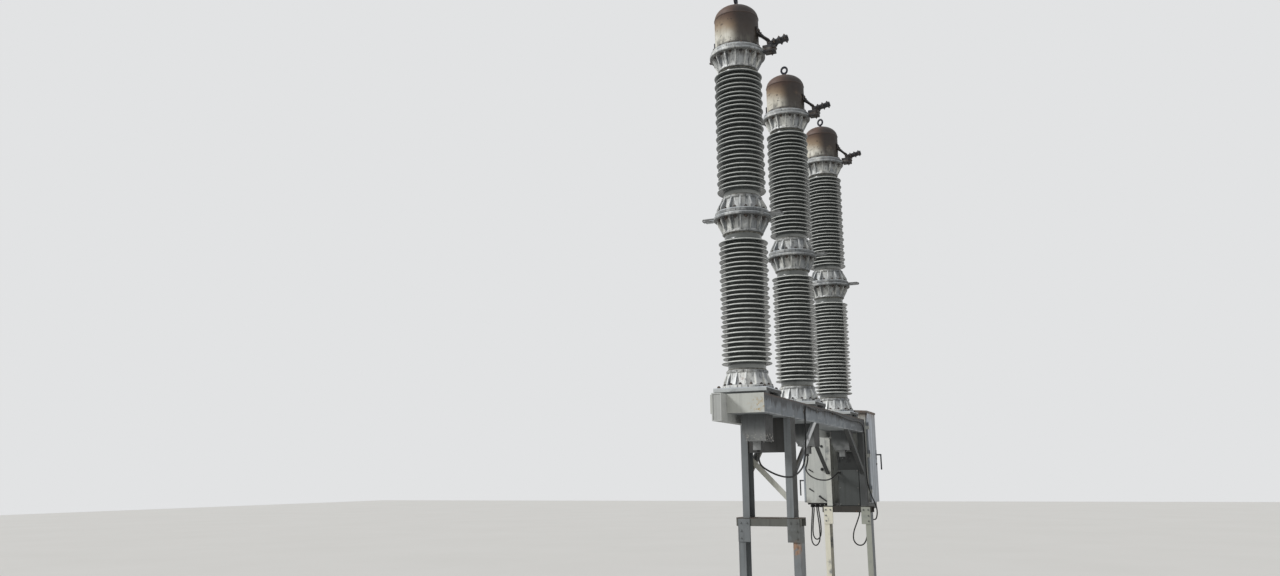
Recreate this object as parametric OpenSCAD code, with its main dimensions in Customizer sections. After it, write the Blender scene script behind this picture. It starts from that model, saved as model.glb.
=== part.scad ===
/* [Poles] */
// Distance between the axes of neighbouring poles
pole_pitch = 1750; // [1500:10:2000]
// Exposed height of one porcelain insulator
insulator_h = 1245; // [1100:5:1400]
// Radius of the porcelain body under the sheds
core_r = 168; // [150:1:172]
// Radius of the large sheds
shed_r = 225; // [215:1:240]
// Radius of the small sheds between them
small_shed_r = 213; // [200:1:214]
// Number of sheds on one insulator
shed_count = 24; // [16:2:24]
// Plain porcelain neck at each end of an insulator
neck_h = 46; // [20:1:60]
// Height of the rough cement band at each insulator end
cement_h = 12; // [6:1:16]

/* [Pole castings] */
// Height of a ribbed bell between insulator and flange ring
bell_h = 138; // [110:1:160]
// Radius of the collar at the insulator end of a bell
bell_collar_r = 187; // [180:1:194]
// Height of that collar
bell_collar_h = 24; // [14:1:34]
// Radius of the bell wall between the ribs, at the flange ring
bell_root_r = 196; // [188:1:205]
// Number of ribs round one bell
rib_count = 14; // [10:1:18]
// Thickness of one rib
rib_t = 15; // [10:1:24]
// Radius of the flange rings in the middle and at the top
flange_r = 262; // [245:1:280]
// Radius of the foot ring that stands on the mounting plate
foot_ring_r = 230; // [222:1:238]
// Thickness of the foot ring
foot_ring_t = 25; // [16:1:35]
// Thickness of the middle flange pair
middle_ring_t = 70; // [50:1:90]
// Thickness of the top flange pair
top_ring_t = 64; // [44:1:80]
// How far the upper plate of a flange pair stands back from the lower one
ring_step = 12; // [4:1:20]

/* [Caps and terminals] */
// Radius of the steel cap on each pole
cap_r = 208; // [195:1:216]
// Height of the straight wall of the cap
cap_wall_h = 334; // [280:1:380]
// Rise of the domed head over that wall
dome_h = 139; // [110:1:170]
// Outer radius of the lifting eye
eye_r = 34; // [28:1:42]
// Radius of the lifting eye's bar
eye_bar_r = 9; // [7:1:11]
// Height of the eye's centre over the dome
eye_lift = 92; // [84:1:110]
// Width of a flat terminal pad
pad_w = 100; // [90:1:120]
// Thickness of a flat terminal pad
pad_t = 20; // [14:1:26]
// Reach of the middle pads from the pole axis
middle_pad_reach = 380; // [370:1:430]
// Reach of the top pad from the pole axis
top_pad_reach = 380; // [370:1:430]
// Distance between bolt holes of a pad
pad_hole_pitch = 50; // [40:1:56]
// Radius of the bolt holes of a pad
pad_hole_r = 7; // [5:0.5:9]
// Radius of the bore that takes the line conductor
conductor_r = 13; // [9:0.5:16]
// Length of the line clamp
clamp_len = 200; // [180:1:240]
// Outer radius of the clamp's barrel
clamp_r = 28; // [24:1:34]
// Distance between the bolt holes that close the clamp
clamp_bolt_pitch = 84; // [80:1:90]
// Slope of the clamp towards its outer end
clamp_slope = 10; // [0:1:15]

/* [Frame] */
// Length of the frame between its end faces
frame_len = 4420; // [4300:10:4700]
// Distance from the near end face to the first pole's axis
near_overhang = 320; // [300:5:360]
// Width of the frame over the outer faces of its beams
frame_w = 480; // [470:5:520]
// Depth of the rolled channel used for beams, posts and legs
channel_d = 165; // [140:1:170]
// Flange width of that channel
channel_b = 65; // [50:1:68]
// Web thickness of that channel
channel_web_t = 8; // [6:1:10]
// Flange thickness of that channel
channel_flange_t = 10; // [8:1:12]
// Thickness of the plates that close the frame
cover_t = 6; // [4:1:8]
// Width of the linkage duct inside the left beam
duct_w = 85; // [70:1:90]
// How far the duct hangs below the beams
duct_drop = 70; // [40:1:80]
// How far the duct stands out of the near end
duct_stickout = 155; // [80:1:200]
// Side of the square mounting plate under a pole
mount_plate_w = 480; // [464:1:500]
// Thickness of that plate
mount_plate_t = 35; // [25:1:40]
// Height of the packing bars under the plate
packer_h = 25; // [15:1:35]
// Width of one packing bar
packer_w = 60; // [40:1:80]

/* [Mechanism housings] */
// Width of the housing under each pole
housing_w = 213; // [180:1:216]
// Length of the housing along the frame
housing_len = 240; // [200:1:280]
// Height of the housing
housing_h = 230; // [190:1:260]
// Size of the slanted lower corner
housing_slant = 80; // [50:1:100]
// How far the lip under the housing stands out
housing_lip = 3; // [2:0.5:4]
// Height of the lip
housing_lip_h = 12; // [8:1:20]
// Distance from the duct to the housing's near side
housing_duct_gap = 60; // [40:1:90]
// Width of the gland box under the housing
gland_box_w = 70; // [50:1:90]
// Height of the gland box
gland_box_h = 75; // [55:1:90]
// Radius of the glands there
gland_r = 13; // [11:1:20]
// Length of a gland
gland_len = 24; // [18:1:40]

/* [Stand] */
// Height of the cross beam's top over the ground
crossbeam_top = 1230; // [1100:5:1350]
// Height of the posts between cross beam and frame
post_h = 900; // [800:5:1000]
// Distance from the first pole's axis to the near posts
near_post_offset = 500; // [450:5:600]
// Height of the cross beam's hanging flanges
crossbeam_h = 76; // [60:1:100]
// Length of a cross beam
crossbeam_len = 610; // [605:5:680]
// Distance between the outer faces of a pair of lower legs
leg_spread = 575; // [560:5:600]
// Length of a foot plate along the frame
foot_len = 270; // [255:1:300]
// Width of a foot plate
foot_w = 150; // [130:1:180]
// Thickness of a foot plate
foot_t = 14; // [10:1:20]
// Distance between the two anchor holes of a foot
anchor_pitch = 214; // [205:1:220]
// Radius of an anchor hole
anchor_r = 11; // [8:0.5:14]
// Height of the splice plate below the cross beam's top
splice_h = 215; // [150:1:260]
// Width of the splice plate
splice_w = 112; // [90:1:130]
// Thickness of stiffening and splice plates
stiff_t = 8; // [6:1:12]
// Depth of the shear plate between the near posts
shear_plate_h = 315; // [250:5:380]
// Height of the cross brace's lower end over the cross beam
brace_low_h = 45; // [20:5:120]
// Height of its upper end
brace_high_h = 525; // [420:5:560]
// Leg width of the angle bars used as braces
angle_w = 50; // [40:1:54]
// Thickness of those angle bars
angle_t = 7; // [5:1:9]
// Height of the knee braces' lower ends over the cross beam
knee_foot_h = 390; // [300:5:450]
// Reach of a knee brace along the frame
knee_reach = 860; // [700:5:900]

/* [Drive cabinet] */
// Gap between the frame's end and the cabinet
cabinet_gap = 30; // [20:1:60]
// Depth of the cabinet along the frame
cabinet_len = 530; // [450:5:650]
// Width of the cabinet across the frame
cabinet_w = 800; // [700:5:860]
// Side of the cabinet towards the terminals' line side, from the frame's middle
cabinet_right = 250; // [200:5:300]
// Height of the cabinet's underside over the ground
cabinet_base = 1262; // [1240:1:1300]
// Height of the cabinet body
cabinet_h = 1120; // [1000:5:1200]
// Sheet thickness of the cabinet
cabinet_wall = 3; // [2:0.5:5]
// Overhang of the roof
roof_lip = 30; // [15:1:45]
// Height of the roof's rim
roof_rim_h = 25; // [15:1:40]
// Rise of the roof towards its middle line
roof_rise = 30; // [15:1:60]
// Thickness of a door
door_t = 22; // [16:1:30]
// Gap between a door and what surrounds it
door_gap = 5; // [5:0.5:8]
// Width of the frame the door closes on
door_margin = 24; // [18:1:40]
// Radius of the hinge barrels
hinge_r = 7; // [6:0.5:8]
// Length of one half of a hinge
hinge_len = 45; // [35:1:60]
// Height of the right door's handle over the cabinet's underside
right_handle_h = 601; // [400:1:800]
// Height of the left door's handle over the cabinet's underside
left_handle_h = 280; // [250:1:800]
// How far a door handle stands out
handle_out = 60; // [40:1:90]
// Length of the handle's hanging grip
handle_len = 190; // [150:1:230]
// Radius of the handle bar
handle_r = 9; // [7:0.5:12]
// Depth of the channels that carry the cabinet
bracket_d = 76; // [60:1:90]
// Width of the relay box between the far posts
relay_w = 265; // [220:1:280]
// Height of the relay box
relay_h = 660; // [560:5:740]
// Depth of the relay box
relay_len = 140; // [110:1:150]
// Height of the relay box's lower cover
relay_cover_h = 440; // [350:5:500]
// Depth of the gland plate along the frame
gland_plate_len = 240; // [180:1:300]
// Width of the gland plate
gland_plate_w = 260; // [240:1:265]
// Distance between the glands of one row
gland_pitch = 60; // [50:1:65]
// Distance between the two rows
gland_row_pitch = 90; // [70:1:110]

/* [Hidden] */
$fn = 64;
eps = 1;

// Places along the frame; the origin is the middle of the stand on the ground
frame_x = -(near_overhang + near_post_offset + frame_len) / 2;
near_x = frame_x - duct_stickout;
frame_end_x = frame_x + frame_len;
near_post_x = pole_x(0) + near_post_offset;
far_post_x = frame_end_x - channel_d;
cabinet_x = frame_end_x + cabinet_gap;
function pole_x(i) = frame_x + near_overhang + i * pole_pitch;

// Heights over the ground, from the bottom up
beam_z = crossbeam_top + post_h;
beam_top = beam_z + channel_d;
plate_z = beam_top + packer_h;
pole_z = plate_z + mount_plate_t;
lower_ins_z = pole_z + foot_ring_t + bell_h;
middle_z = lower_ins_z + insulator_h;
upper_ins_z = middle_z + bell_h + middle_ring_t + bell_h;
top_z = upper_ins_z + insulator_h;
cap_z = top_z + bell_h + top_ring_t;

// Sides of the frame
beam_y = frame_w / 2;
flange_tip_y = beam_y - channel_b;
duct_y = flange_tip_y - duct_w;
bell_rib_r = flange_r - 26;
// How each pole's lifting eye happens to be turned
eye_angles = [0, 70, 60];
// Clearance round a piece that passes through another
pass_gap = 5;
shed_zone = insulator_h - 2 * neck_h;
shed_pitch = shed_zone / shed_count;

// Relay box: its right side, its face gland and the bottom of the gland through the cross beam
relay_y = -flange_tip_y + 3;
relay_gland_y = 72;
relay_gland_z = crossbeam_top + 410;
relay_out = [far_post_x + 62, -140, crossbeam_top - 64];
// Glands in the cabinet's floor
floor_glands = [[cabinet_x + 130, -150], [cabinet_x + 75, -180]];
floor_gland_h = 34;

// Hinges of the cabinet doors
hinge_leaf_t = 6;
hinge_leaf_w = 28;
hinge_pin_r = 4;
hinge_fit = 0.05;
hinge_axis_out = door_gap + door_t + hinge_r + 3;
hinge_heights = [120, cabinet_h / 2, cabinet_h - 210];

steel_grey = [0.47, 0.48, 0.49];
pale_grey = [0.68, 0.69, 0.67];
casting_grey = [0.70, 0.72, 0.74];
porcelain_grey = [0.42, 0.44, 0.41];
cap_brown = [0.42, 0.34, 0.29];
dark_grey = [0.27, 0.28, 0.28];

// Rolled channel: web along +Y from the origin, flanges towards +X
module channel_section(depth = channel_d, flange = channel_b) {
    polygon([
        [0, 0], [flange, 0], [flange, channel_flange_t],
        [channel_web_t, channel_flange_t],
        [channel_web_t, depth - channel_flange_t],
        [flange, depth - channel_flange_t], [flange, depth], [0, depth]
    ]);
}

// Upright channel with its web on the outer side, side is 1 for left and -1 for right
module upright(x, outer_y, side, z, height) {
    translate([x, side * outer_y, z])
        mirror([0, side > 0 ? 1 : 0, 0])
            rotate([0, 0, 90]) mirror([0, 1, 0])
                linear_extrude(height) channel_section();
}

// Angle bar from a to b, one leg upright and the other on the side given
module angle_bar(a, b, side = 1) {
    run = b - a;
    translate(a)
        rotate([0, -asin(run[2] / norm(run)), atan2(run[1], run[0])])
            rotate([90, 0, 90]) linear_extrude(norm(run))
                mirror([side < 0 ? 1 : 0, 0])
                    polygon([
                        [0, 0], [angle_w, 0], [angle_w, angle_t],
                        [angle_t, angle_t], [angle_t, angle_w], [0, angle_w]
                    ]);
}

// Lower leg with its foot plate and the splice plate over its head
module leg(x, side) {
    leg_top = crossbeam_top - crossbeam_h;
    leg_mid_y = side * (leg_spread / 2 - channel_b / 2);
    difference() {
        union() {
            upright(x, leg_spread / 2, side, foot_t, leg_top - foot_t);
            translate([x + channel_d / 2 - foot_len / 2, leg_mid_y - foot_w / 2, 0])
                cube([foot_len, foot_w, foot_t]);
            translate([x - stiff_t, side > 0 ? leg_spread / 2 - splice_w : -leg_spread / 2,
                       crossbeam_top - splice_h])
                cube([stiff_t, splice_w, splice_h - channel_flange_t]);
        }
        for (end = [-1, 1])
            translate([x + channel_d / 2 + end * anchor_pitch / 2, leg_mid_y, -eps])
                cylinder(r = anchor_r, h = foot_t + 2 * eps);
    }
}

module legs(x) {
    color(steel_grey) for (side = [-1, 1]) leg(x, side);
}

// Cross beam: a channel laid on its flanges' tips, web up
module crossbeam(x) {
    color(steel_grey)
        translate([x, -crossbeam_len / 2, crossbeam_top])
            mirror([0, 0, 1])
                rotate([-90, 0, 0]) mirror([0, 1, 0])
                    linear_extrude(crossbeam_len)
                        polygon([
                            [0, 0], [channel_d, 0], [channel_d, crossbeam_h],
                            [channel_d - channel_web_t, crossbeam_h],
                            [channel_d - channel_web_t, channel_flange_t],
                            [channel_web_t, channel_flange_t],
                            [channel_web_t, crossbeam_h], [0, crossbeam_h]
                        ]);
}

// Far cross beam, with a hole for the gland under the relay box
module far_crossbeam() {
    difference() {
        crossbeam(far_post_x);
        translate([relay_out[0], relay_out[1], crossbeam_top - crossbeam_h])
            cylinder(r = gland_r + 3 + pass_gap, h = crossbeam_h + eps);
    }
}

module posts(x) {
    color(steel_grey) for (side = [-1, 1]) upright(x, beam_y, side, crossbeam_top, post_h);
}

// Plate between the near posts, folded back along its lower edge and cut away round the duct
module shear_plate() {
    inner_y = beam_y - channel_web_t;
    plate_x = near_post_x + channel_flange_t;
    low_z = beam_z - shear_plate_h;
    color(dark_grey) difference() {
        union() {
            translate([plate_x, -inner_y, low_z]) cube([stiff_t, 2 * inner_y, shear_plate_h]);
            translate([plate_x, -inner_y, low_z]) cube([angle_w, 2 * inner_y, stiff_t]);
        }
        translate([plate_x - eps, duct_y - pass_gap, beam_z - duct_drop - pass_gap])
            cube([stiff_t + 2 * eps, duct_w + 2 * pass_gap, duct_drop + pass_gap + eps]);
    }
}

// Diagonal angle bar on the back of the near posts, its ends cut upright
module cross_brace() {
    edge_y = beam_y - channel_web_t - eps;
    x = near_post_x + channel_d;
    color(steel_grey) intersection() {
        angle_bar([x, edge_y, crossbeam_top + brace_high_h],
                  [x, -edge_y, crossbeam_top + brace_low_h]);
        translate([x, -edge_y, crossbeam_top]) cube([2 * angle_w, 2 * edge_y, post_h]);
    }
}

// Knee braces between posts and beams; way is 1 where they lean along +X
module knee_braces(x, way) {
    foot_z = crossbeam_top + knee_foot_h;
    color(steel_grey) for (side = [-1, 1])
        intersection() {
            angle_bar([x, side * (beam_y - 2), foot_z],
                      [x + way * knee_reach, side * (beam_y - 2), beam_z], -side * way);
            translate([way > 0 ? x : x - 2 * knee_reach, -beam_y, crossbeam_top])
                cube([2 * knee_reach, 2 * beam_y, post_h]);
        }
}

// Long beam of the frame, side is 1 for left and -1 for right
module beam(side) {
    color(pale_grey)
        translate([frame_x, side * beam_y, beam_z])
            mirror([0, side > 0 ? 1 : 0, 0])
                rotate([90, 0, 90]) linear_extrude(frame_len) channel_section();
}

// End plate of the frame, cut away where the linkage duct passes
module near_end_plate() {
    color(pale_grey) difference() {
        translate([frame_x - cover_t, -beam_y, beam_z]) cube([cover_t, frame_w, channel_d]);
        translate([frame_x - 2 * cover_t, duct_y - eps, beam_z - eps])
            cube([3 * cover_t, duct_w + 2 * eps, channel_d + 2 * eps]);
    }
}

module far_end_plate() {
    color(pale_grey)
        translate([frame_end_x, -beam_y, beam_z]) cube([cover_t, frame_w, channel_d]);
}

// Plate that closes the frame from below, between right beam and duct
module frame_floor() {
    color(pale_grey)
        translate([frame_x, -flange_tip_y, beam_z]) cube([frame_len, flange_tip_y + duct_y, cover_t]);
}

// Duct of the pull rod, with a raised rim round its near face
module linkage_duct() {
    rim = 10;
    color(pale_grey) difference() {
        translate([near_x, duct_y, beam_z - duct_drop])
            cube([duct_stickout + frame_len, duct_w, channel_d + duct_drop]);
        translate([near_x - eps, duct_y + rim, beam_z - duct_drop + rim])
            cube([rim / 2 + eps, duct_w - 2 * rim, channel_d + duct_drop - 2 * rim]);
    }
}

// Mounting plate of a pole on its two packing bars
module mount_plate(i) {
    color(casting_grey) translate([pole_x(i), 0, 0]) {
        translate([-mount_plate_w / 2, -mount_plate_w / 2, plate_z])
            cube([mount_plate_w, mount_plate_w, mount_plate_t]);
        for (end = [-1, 1])
            translate([end * (mount_plate_w / 2 - packer_w) - packer_w / 2, -beam_y, beam_top])
                cube([packer_w, frame_w, packer_h]);
    }
}

// Mechanism housing that hangs under the frame, slanted at one lower corner, gland box below
module housing(i) {
    left = duct_y - housing_duct_gap;
    right = left - housing_w;
    gland_y = right + housing_w / 2;
    color(steel_grey) translate([pole_x(i), 0, beam_z - housing_h]) {
        translate([-housing_len / 2, 0, 0]) rotate([90, 0, 90]) linear_extrude(housing_len)
            polygon([
                [right, housing_lip_h], [left - housing_slant / 2, housing_lip_h],
                [left, housing_slant], [left, housing_h], [right, housing_h]
            ]);
        translate([-housing_len / 2 - housing_lip, right - housing_lip, 0])
            cube([housing_len + 2 * housing_lip, housing_w - housing_slant / 2 + 2 * housing_lip,
                  housing_lip_h]);
        translate([-gland_box_w / 2, gland_y - gland_box_w / 2, -gland_box_h])
            cube([gland_box_w, gland_box_w, gland_box_h + eps]);
        translate([0, gland_y, -gland_box_h - gland_len]) cylinder(r = gland_r, h = gland_len);
    }
}

// Ribbed bell: collar at z = 0, flange ring side at z = bell_h
module bell(rib_end_r = bell_rib_r) {
    rotate_extrude() polygon([
        [0, 0], [bell_collar_r, 0], [bell_collar_r, bell_collar_h],
        [bell_collar_r - 10, bell_collar_h + 4], [bell_root_r, bell_h], [0, bell_h]
    ]);
    for (k = [0:rib_count - 1])
        rotate([0, 0, (k + 0.5) * 360 / rib_count])
            rotate([90, 0, 0])
                translate([0, 0, -rib_t / 2]) linear_extrude(rib_t)
                    polygon([
                        [core_r, bell_collar_h / 2], [bell_collar_r, bell_collar_h / 2],
                        [rib_end_r - 16, bell_h * 0.55], [rib_end_r, bell_h * 0.8],
                        [rib_end_r, bell_h], [core_r, bell_h]
                    ]);
}

// Foot casting of a pole: ring on the mounting plate, bell above it
module foot_flange(i) {
    color(casting_grey) translate([pole_x(i), 0, pole_z]) {
        cylinder(r = foot_ring_r, h = foot_ring_t);
        translate([0, 0, foot_ring_t + bell_h]) mirror([0, 0, 1]) bell(foot_ring_r - 8);
    }
}

// One shed: outline points from its underside up, at height z
function shed_points(z, r) = [
    [core_r, z], [core_r + 8, z + 5], [r - 9, z - 2], [r - 2, z],
    [r, z + 5], [r - 4, z + 10], [core_r + 6, z + 24], [core_r, z + 30]
];

// Porcelain insulator with large and small sheds in turn
module insulator(z, i) {
    color(porcelain_grey) translate([pole_x(i), 0, z])
        rotate_extrude() polygon(concat(
            [[0, 0], [core_r + 6, 0], [core_r + 6, cement_h], [core_r, cement_h]],
            [for (k = [0:shed_count - 1])
                each shed_points(neck_h + (k + 0.25) * shed_pitch, k % 2 == 0 ? shed_r : small_shed_r)],
            [[core_r, insulator_h - cement_h], [core_r + 6, insulator_h - cement_h],
             [core_r + 6, insulator_h], [0, insulator_h]]
        ));
}

// Flat terminal pad with rounded corners, from the pole axis towards +Y
pad_hole_edge = 28;
module pad(reach, corner_r = 18, holes = true) {
    difference() {
        linear_extrude(pad_t) union() {
            translate([-pad_w / 2, 0]) square([pad_w, reach - corner_r]);
            translate([-pad_w / 2 + corner_r, 0]) square([pad_w - 2 * corner_r, reach]);
            for (end = [-1, 1])
                translate([end * (pad_w / 2 - corner_r), reach - corner_r]) circle(r = corner_r);
        }
        if (holes)
            for (a = [-1, 1], b = [0, 1])
                translate([a * pad_hole_pitch / 2, reach - pad_hole_edge - b * pad_hole_pitch, -eps])
                    cylinder(r = pad_hole_r, h = pad_t + 2 * eps);
    }
}

// Pair of flange plates, the upper one a little smaller
module ring_pair(height) {
    cylinder(r = flange_r, h = height / 2);
    translate([0, 0, height / 2]) cylinder(r = flange_r - ring_step, h = height / 2);
}

// Both bells between two insulators, with a terminal pad on each side
module middle_flange(i) {
    color(casting_grey) translate([pole_x(i), 0, middle_z]) {
        bell();
        translate([0, 0, bell_h]) ring_pair(middle_ring_t);
        translate([0, 0, 2 * bell_h + middle_ring_t]) mirror([0, 0, 1]) bell();
        for (side = [0, 1])
            translate([0, 0, bell_h + (middle_ring_t - pad_t) / 2])
                mirror([0, side, 0]) pad(middle_pad_reach);
    }
}

// Bell and flange pair under the cap, with a lug that carries the line clamp
module top_flange(i) {
    color(casting_grey) translate([pole_x(i), 0, top_z]) {
        bell();
        translate([0, 0, bell_h]) ring_pair(top_ring_t);
        translate([0, 0, bell_h + (top_ring_t - pad_t) / 2])
            mirror([0, 1, 0]) pad(top_pad_reach, pad_w / 2 - eps, false);
    }
}

// Steel cap: straight wall, weld bead, domed head and lifting eye
module cap(i) {
    bead = 5;
    steps = 10;
    color(cap_brown) translate([pole_x(i), 0, cap_z]) {
        rotate_extrude() polygon(concat(
            [[0, 0], [cap_r + 8, 0], [cap_r + 8, 16], [cap_r, 22], [cap_r, cap_wall_h - 10],
             [cap_r + bead, cap_wall_h - 4], [cap_r, cap_wall_h + 2]],
            [for (k = [1:steps - 1])
                [cap_r * cos(90 * k / steps), cap_wall_h + 2 + (dome_h - 2) * sin(90 * k / steps)]],
            [[0, cap_wall_h + dome_h]]
        ));
        translate([0, 0, cap_wall_h + dome_h - 10])
            cylinder(r = eye_bar_r + 4, h = eye_lift - eye_r + eye_bar_r + 10);
        translate([0, 0, cap_wall_h + dome_h + eye_lift])
            rotate([90, 0, eye_angles[i]]) rotate_extrude()
                translate([eye_r - eye_bar_r, 0]) circle(r = eye_bar_r, $fn = 24);
        translate([-15, cap_r - 6, 60]) cube([30, 26, 80]);
    }
}

// Clamp for the line conductor on the top lug: foot, barrel with keepers, and strap to the cap
module line_clamp(i) {
    start_y = flange_r + 38;
    seat_z = top_z + bell_h + (top_ring_t + pad_t) / 2;
    axis_z = seat_z + clamp_r + 20;
    foot_len = top_pad_reach - start_y;
    foot_h = 14;
    keeper_l = 30;
    keeper_h = 18;
    strap_w = 36;
    strap_t = 8;
    color(dark_grey) translate([pole_x(i), -start_y, 0]) {
        translate([-clamp_r - 8, -foot_len, seat_z]) cube([2 * clamp_r + 16, foot_len, foot_h]);
        translate([0, 0, axis_z]) rotate([-clamp_slope, 0, 0]) difference() {
            union() {
                translate([-foot_h, -foot_len, foot_h - axis_z + seat_z - 8])
                    cube([2 * foot_h, foot_len - 6, axis_z - seat_z - foot_h + 8]);
                rotate([90, 0, 0]) cylinder(r = clamp_r, h = clamp_len);
                for (k = [0:2])
                    translate([-clamp_bolt_pitch / 2 - 12, -clamp_len + 8 + k * 52, -keeper_h / 2])
                        cube([clamp_bolt_pitch + 24, keeper_l, keeper_h]);
            }
            translate([0, eps, 0]) rotate([90, 0, 0])
                cylinder(r = conductor_r, h = clamp_len + 2 * eps);
            for (k = [0:2], side = [-1, 1])
                translate([side * clamp_bolt_pitch / 2, -clamp_len + 8 + keeper_l / 2 + k * 52,
                           -keeper_h / 2 - eps])
                    cylinder(r = 6, h = keeper_h + 2 * eps);
        }
        hull() {
            translate([-strap_w / 2, start_y - cap_r - strap_t - 0.5, cap_z + 155])
                cube([strap_w, strap_t, 30]);
            translate([-strap_w / 2, -24, axis_z + clamp_r - 2]) cube([strap_w, 24, strap_t]);
        }
    }
}

// Sheet case with a frame round each door opening, at one door's face
module cabinet_shell() {
    difference() {
        cube([cabinet_len, cabinet_w, cabinet_h]);
        translate([door_margin, -eps, door_margin])
            cube([cabinet_len - 2 * door_margin, cabinet_w + 2 * eps, cabinet_h - 2 * door_margin]);
        translate([cabinet_wall, door_margin, cabinet_wall])
            cube([cabinet_len - 2 * cabinet_wall, cabinet_w - 2 * door_margin,
                  cabinet_h - 2 * cabinet_wall]);
    }
}

// The lower hinge halves with their pins, for the door at y = 0
module body_hinges() {
    for (z = hinge_heights)
        translate([-hinge_leaf_t / 2, -hinge_axis_out, z]) {
            cylinder(r = hinge_r, h = hinge_len);
            translate([-hinge_leaf_t / 2, 0, 0])
                cube([hinge_leaf_t, hinge_axis_out + hinge_leaf_w, hinge_len]);
            cylinder(r = hinge_pin_r, h = 2 * hinge_len - 2);
        }
}

// Cabinet body: a sheet case with a door frame on both sides, two glands in its floor
module cabinet_body() {
    color(pale_grey) {
        for (at = floor_glands)
            translate([at[0], at[1], cabinet_base - floor_gland_h])
                cylinder(r = gland_r + 3, h = floor_gland_h + eps);
    }
    color(pale_grey) translate([cabinet_x, -cabinet_right, cabinet_base]) {
        cabinet_shell();
        body_hinges();
        translate([cabinet_len, cabinet_w, 0]) rotate([0, 0, 180]) body_hinges();
    }
}

// Roof with a rim all round and two shallow slopes
module cabinet_roof() {
    roof_z = cabinet_base + cabinet_h;
    width = cabinet_w + 2 * roof_lip;
    color(pale_grey) translate([cabinet_x - roof_lip + 8, -cabinet_right - roof_lip, roof_z])
        rotate([90, 0, 90]) linear_extrude(cabinet_len + 2 * roof_lip - 8)
            polygon([[0, 0], [width, 0], [width, roof_rim_h], [width / 2, roof_rim_h + roof_rise],
                     [0, roof_rim_h]]);
}

// Door before the cabinet face y = 0: folded tray, upper hinge halves and hanging lever handle
module door(handle_top) {
    width = cabinet_len - 2 * door_gap;
    height = cabinet_h - 2 * door_gap;
    fold = 3;
    handle_x = cabinet_len - 55;
    out_y = -door_gap - door_t;
    difference() {
        translate([door_gap, out_y, door_gap]) cube([width, door_t, height]);
        translate([door_gap + fold, out_y + fold, door_gap + fold])
            cube([width - 2 * fold, door_t, height - 2 * fold]);
    }
    for (z = hinge_heights)
        translate([-hinge_leaf_t / 2, -hinge_axis_out, z + hinge_len + 1])
            difference() {
                union() {
                    cylinder(r = hinge_r, h = hinge_len);
                    translate([0, -hinge_r, 0])
                        cube([door_gap + 40, hinge_axis_out + out_y + hinge_r, hinge_len]);
                }
                translate([0, 0, -eps])
                    cylinder(r = hinge_pin_r + hinge_fit, h = hinge_len + 2 * eps);
            }
    translate([handle_x - 18, out_y - 6, handle_top - 60]) cube([36, 6, 120]);
    translate([handle_x, out_y - handle_out, handle_top]) {
        rotate([-90, 0, 0]) cylinder(r = handle_r, h = handle_out);
        translate([0, 0, -handle_len]) cylinder(r = handle_r, h = handle_len + handle_r);
    }
}

module right_door() {
    color(pale_grey)
        translate([cabinet_x, -cabinet_right, cabinet_base]) door(right_handle_h);
}

module left_door() {
    color(pale_grey)
        translate([cabinet_x + cabinet_len, cabinet_w - cabinet_right, cabinet_base])
            rotate([0, 0, 180]) door(left_handle_h);
}

// Channels under the cabinet, carried by the far posts
module cabinet_brackets() {
    bracket_x = far_post_x + channel_d;
    color(steel_grey) for (side = [-1, 1])
        translate([bracket_x, side * beam_y, cabinet_base - bracket_d])
            mirror([0, side > 0 ? 1 : 0, 0])
                rotate([90, 0, 90]) linear_extrude(cabinet_gap + cabinet_len)
                    channel_section(bracket_d, 40);
}

// Place of a gland under the cabinet: row along X, number along Y
function cabinet_gland(row, k) = [
    cabinet_x + 80 + row * gland_row_pitch,
    cabinet_right + 70 + k * gland_pitch
];

// Plate with two rows of cable glands under the cabinet's left part
module gland_plate() {
    plate_t = 22;
    first = cabinet_gland(0, 0);
    color(dark_grey) {
        translate([first[0] - 60, first[1] - 40, cabinet_base - plate_t])
            cube([gland_plate_len, gland_plate_w, plate_t]);
        for (row = [0:1], k = [0:3])
            translate([cabinet_gland(row, k)[0], cabinet_gland(row, k)[1],
                       cabinet_base - plate_t - floor_gland_h])
                cylinder(r = gland_r + 3, h = floor_gland_h);
    }
}

// Relay box on the far cross beam between the posts: case with a raised lower cover and rain lip
module relay_box() {
    front_x = far_post_x + 10;
    cover_t = 12;
    lip = 8;
    color(dark_grey) {
        translate([front_x, relay_y, crossbeam_top]) {
            translate([cover_t, 0, 0]) cube([relay_len - cover_t, relay_w, relay_h]);
            translate([0, lip, lip]) cube([cover_t + eps, relay_w - 2 * lip, relay_cover_h]);
            translate([0, 0, relay_h - lip]) cube([relay_len, relay_w, lip]);
        }
        translate([front_x - gland_len, relay_gland_y, relay_gland_z])
            rotate([0, 90, 0]) cylinder(r = gland_r, h = gland_len + cover_t);
        translate([relay_out[0], relay_out[1], relay_out[2]])
            cylinder(r = gland_r + 3, h = crossbeam_top - relay_out[2] + eps);
    }
}

// Tube along hand-chosen points, as one polyhedron with flat ends
module tube(points, r) {
    sides = 8;
    count = len(points);
    function unit(v) = v / norm(v);
    function heading(k) = unit(points[min(k + 1, count - 1)] - points[max(k - 1, 0)]);
    function across(d) = unit(cross(d, abs(d[2]) > 0.9 ? [1, 0, 0] : [0, 0, 1]));
    rings = [for (k = [0:count - 1])
        let (d = heading(k), u = across(d), v = cross(d, u))
            [for (s = [0:sides - 1])
                points[k] + r * (u * cos(s * 360 / sides) + v * sin(s * 360 / sides))]];
    polyhedron(
        points = [for (ring = rings) each ring],
        faces = concat(
            [[for (s = [0:sides - 1]) s]],
            [[for (s = [sides - 1:-1:0]) (count - 1) * sides + s]],
            [for (k = [0:count - 2], s = [0:sides - 1])
                [k * sides + s, (k + 1) * sides + s,
                 (k + 1) * sides + (s + 1) % sides, k * sides + (s + 1) % sides]]
        )
    );
}

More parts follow.
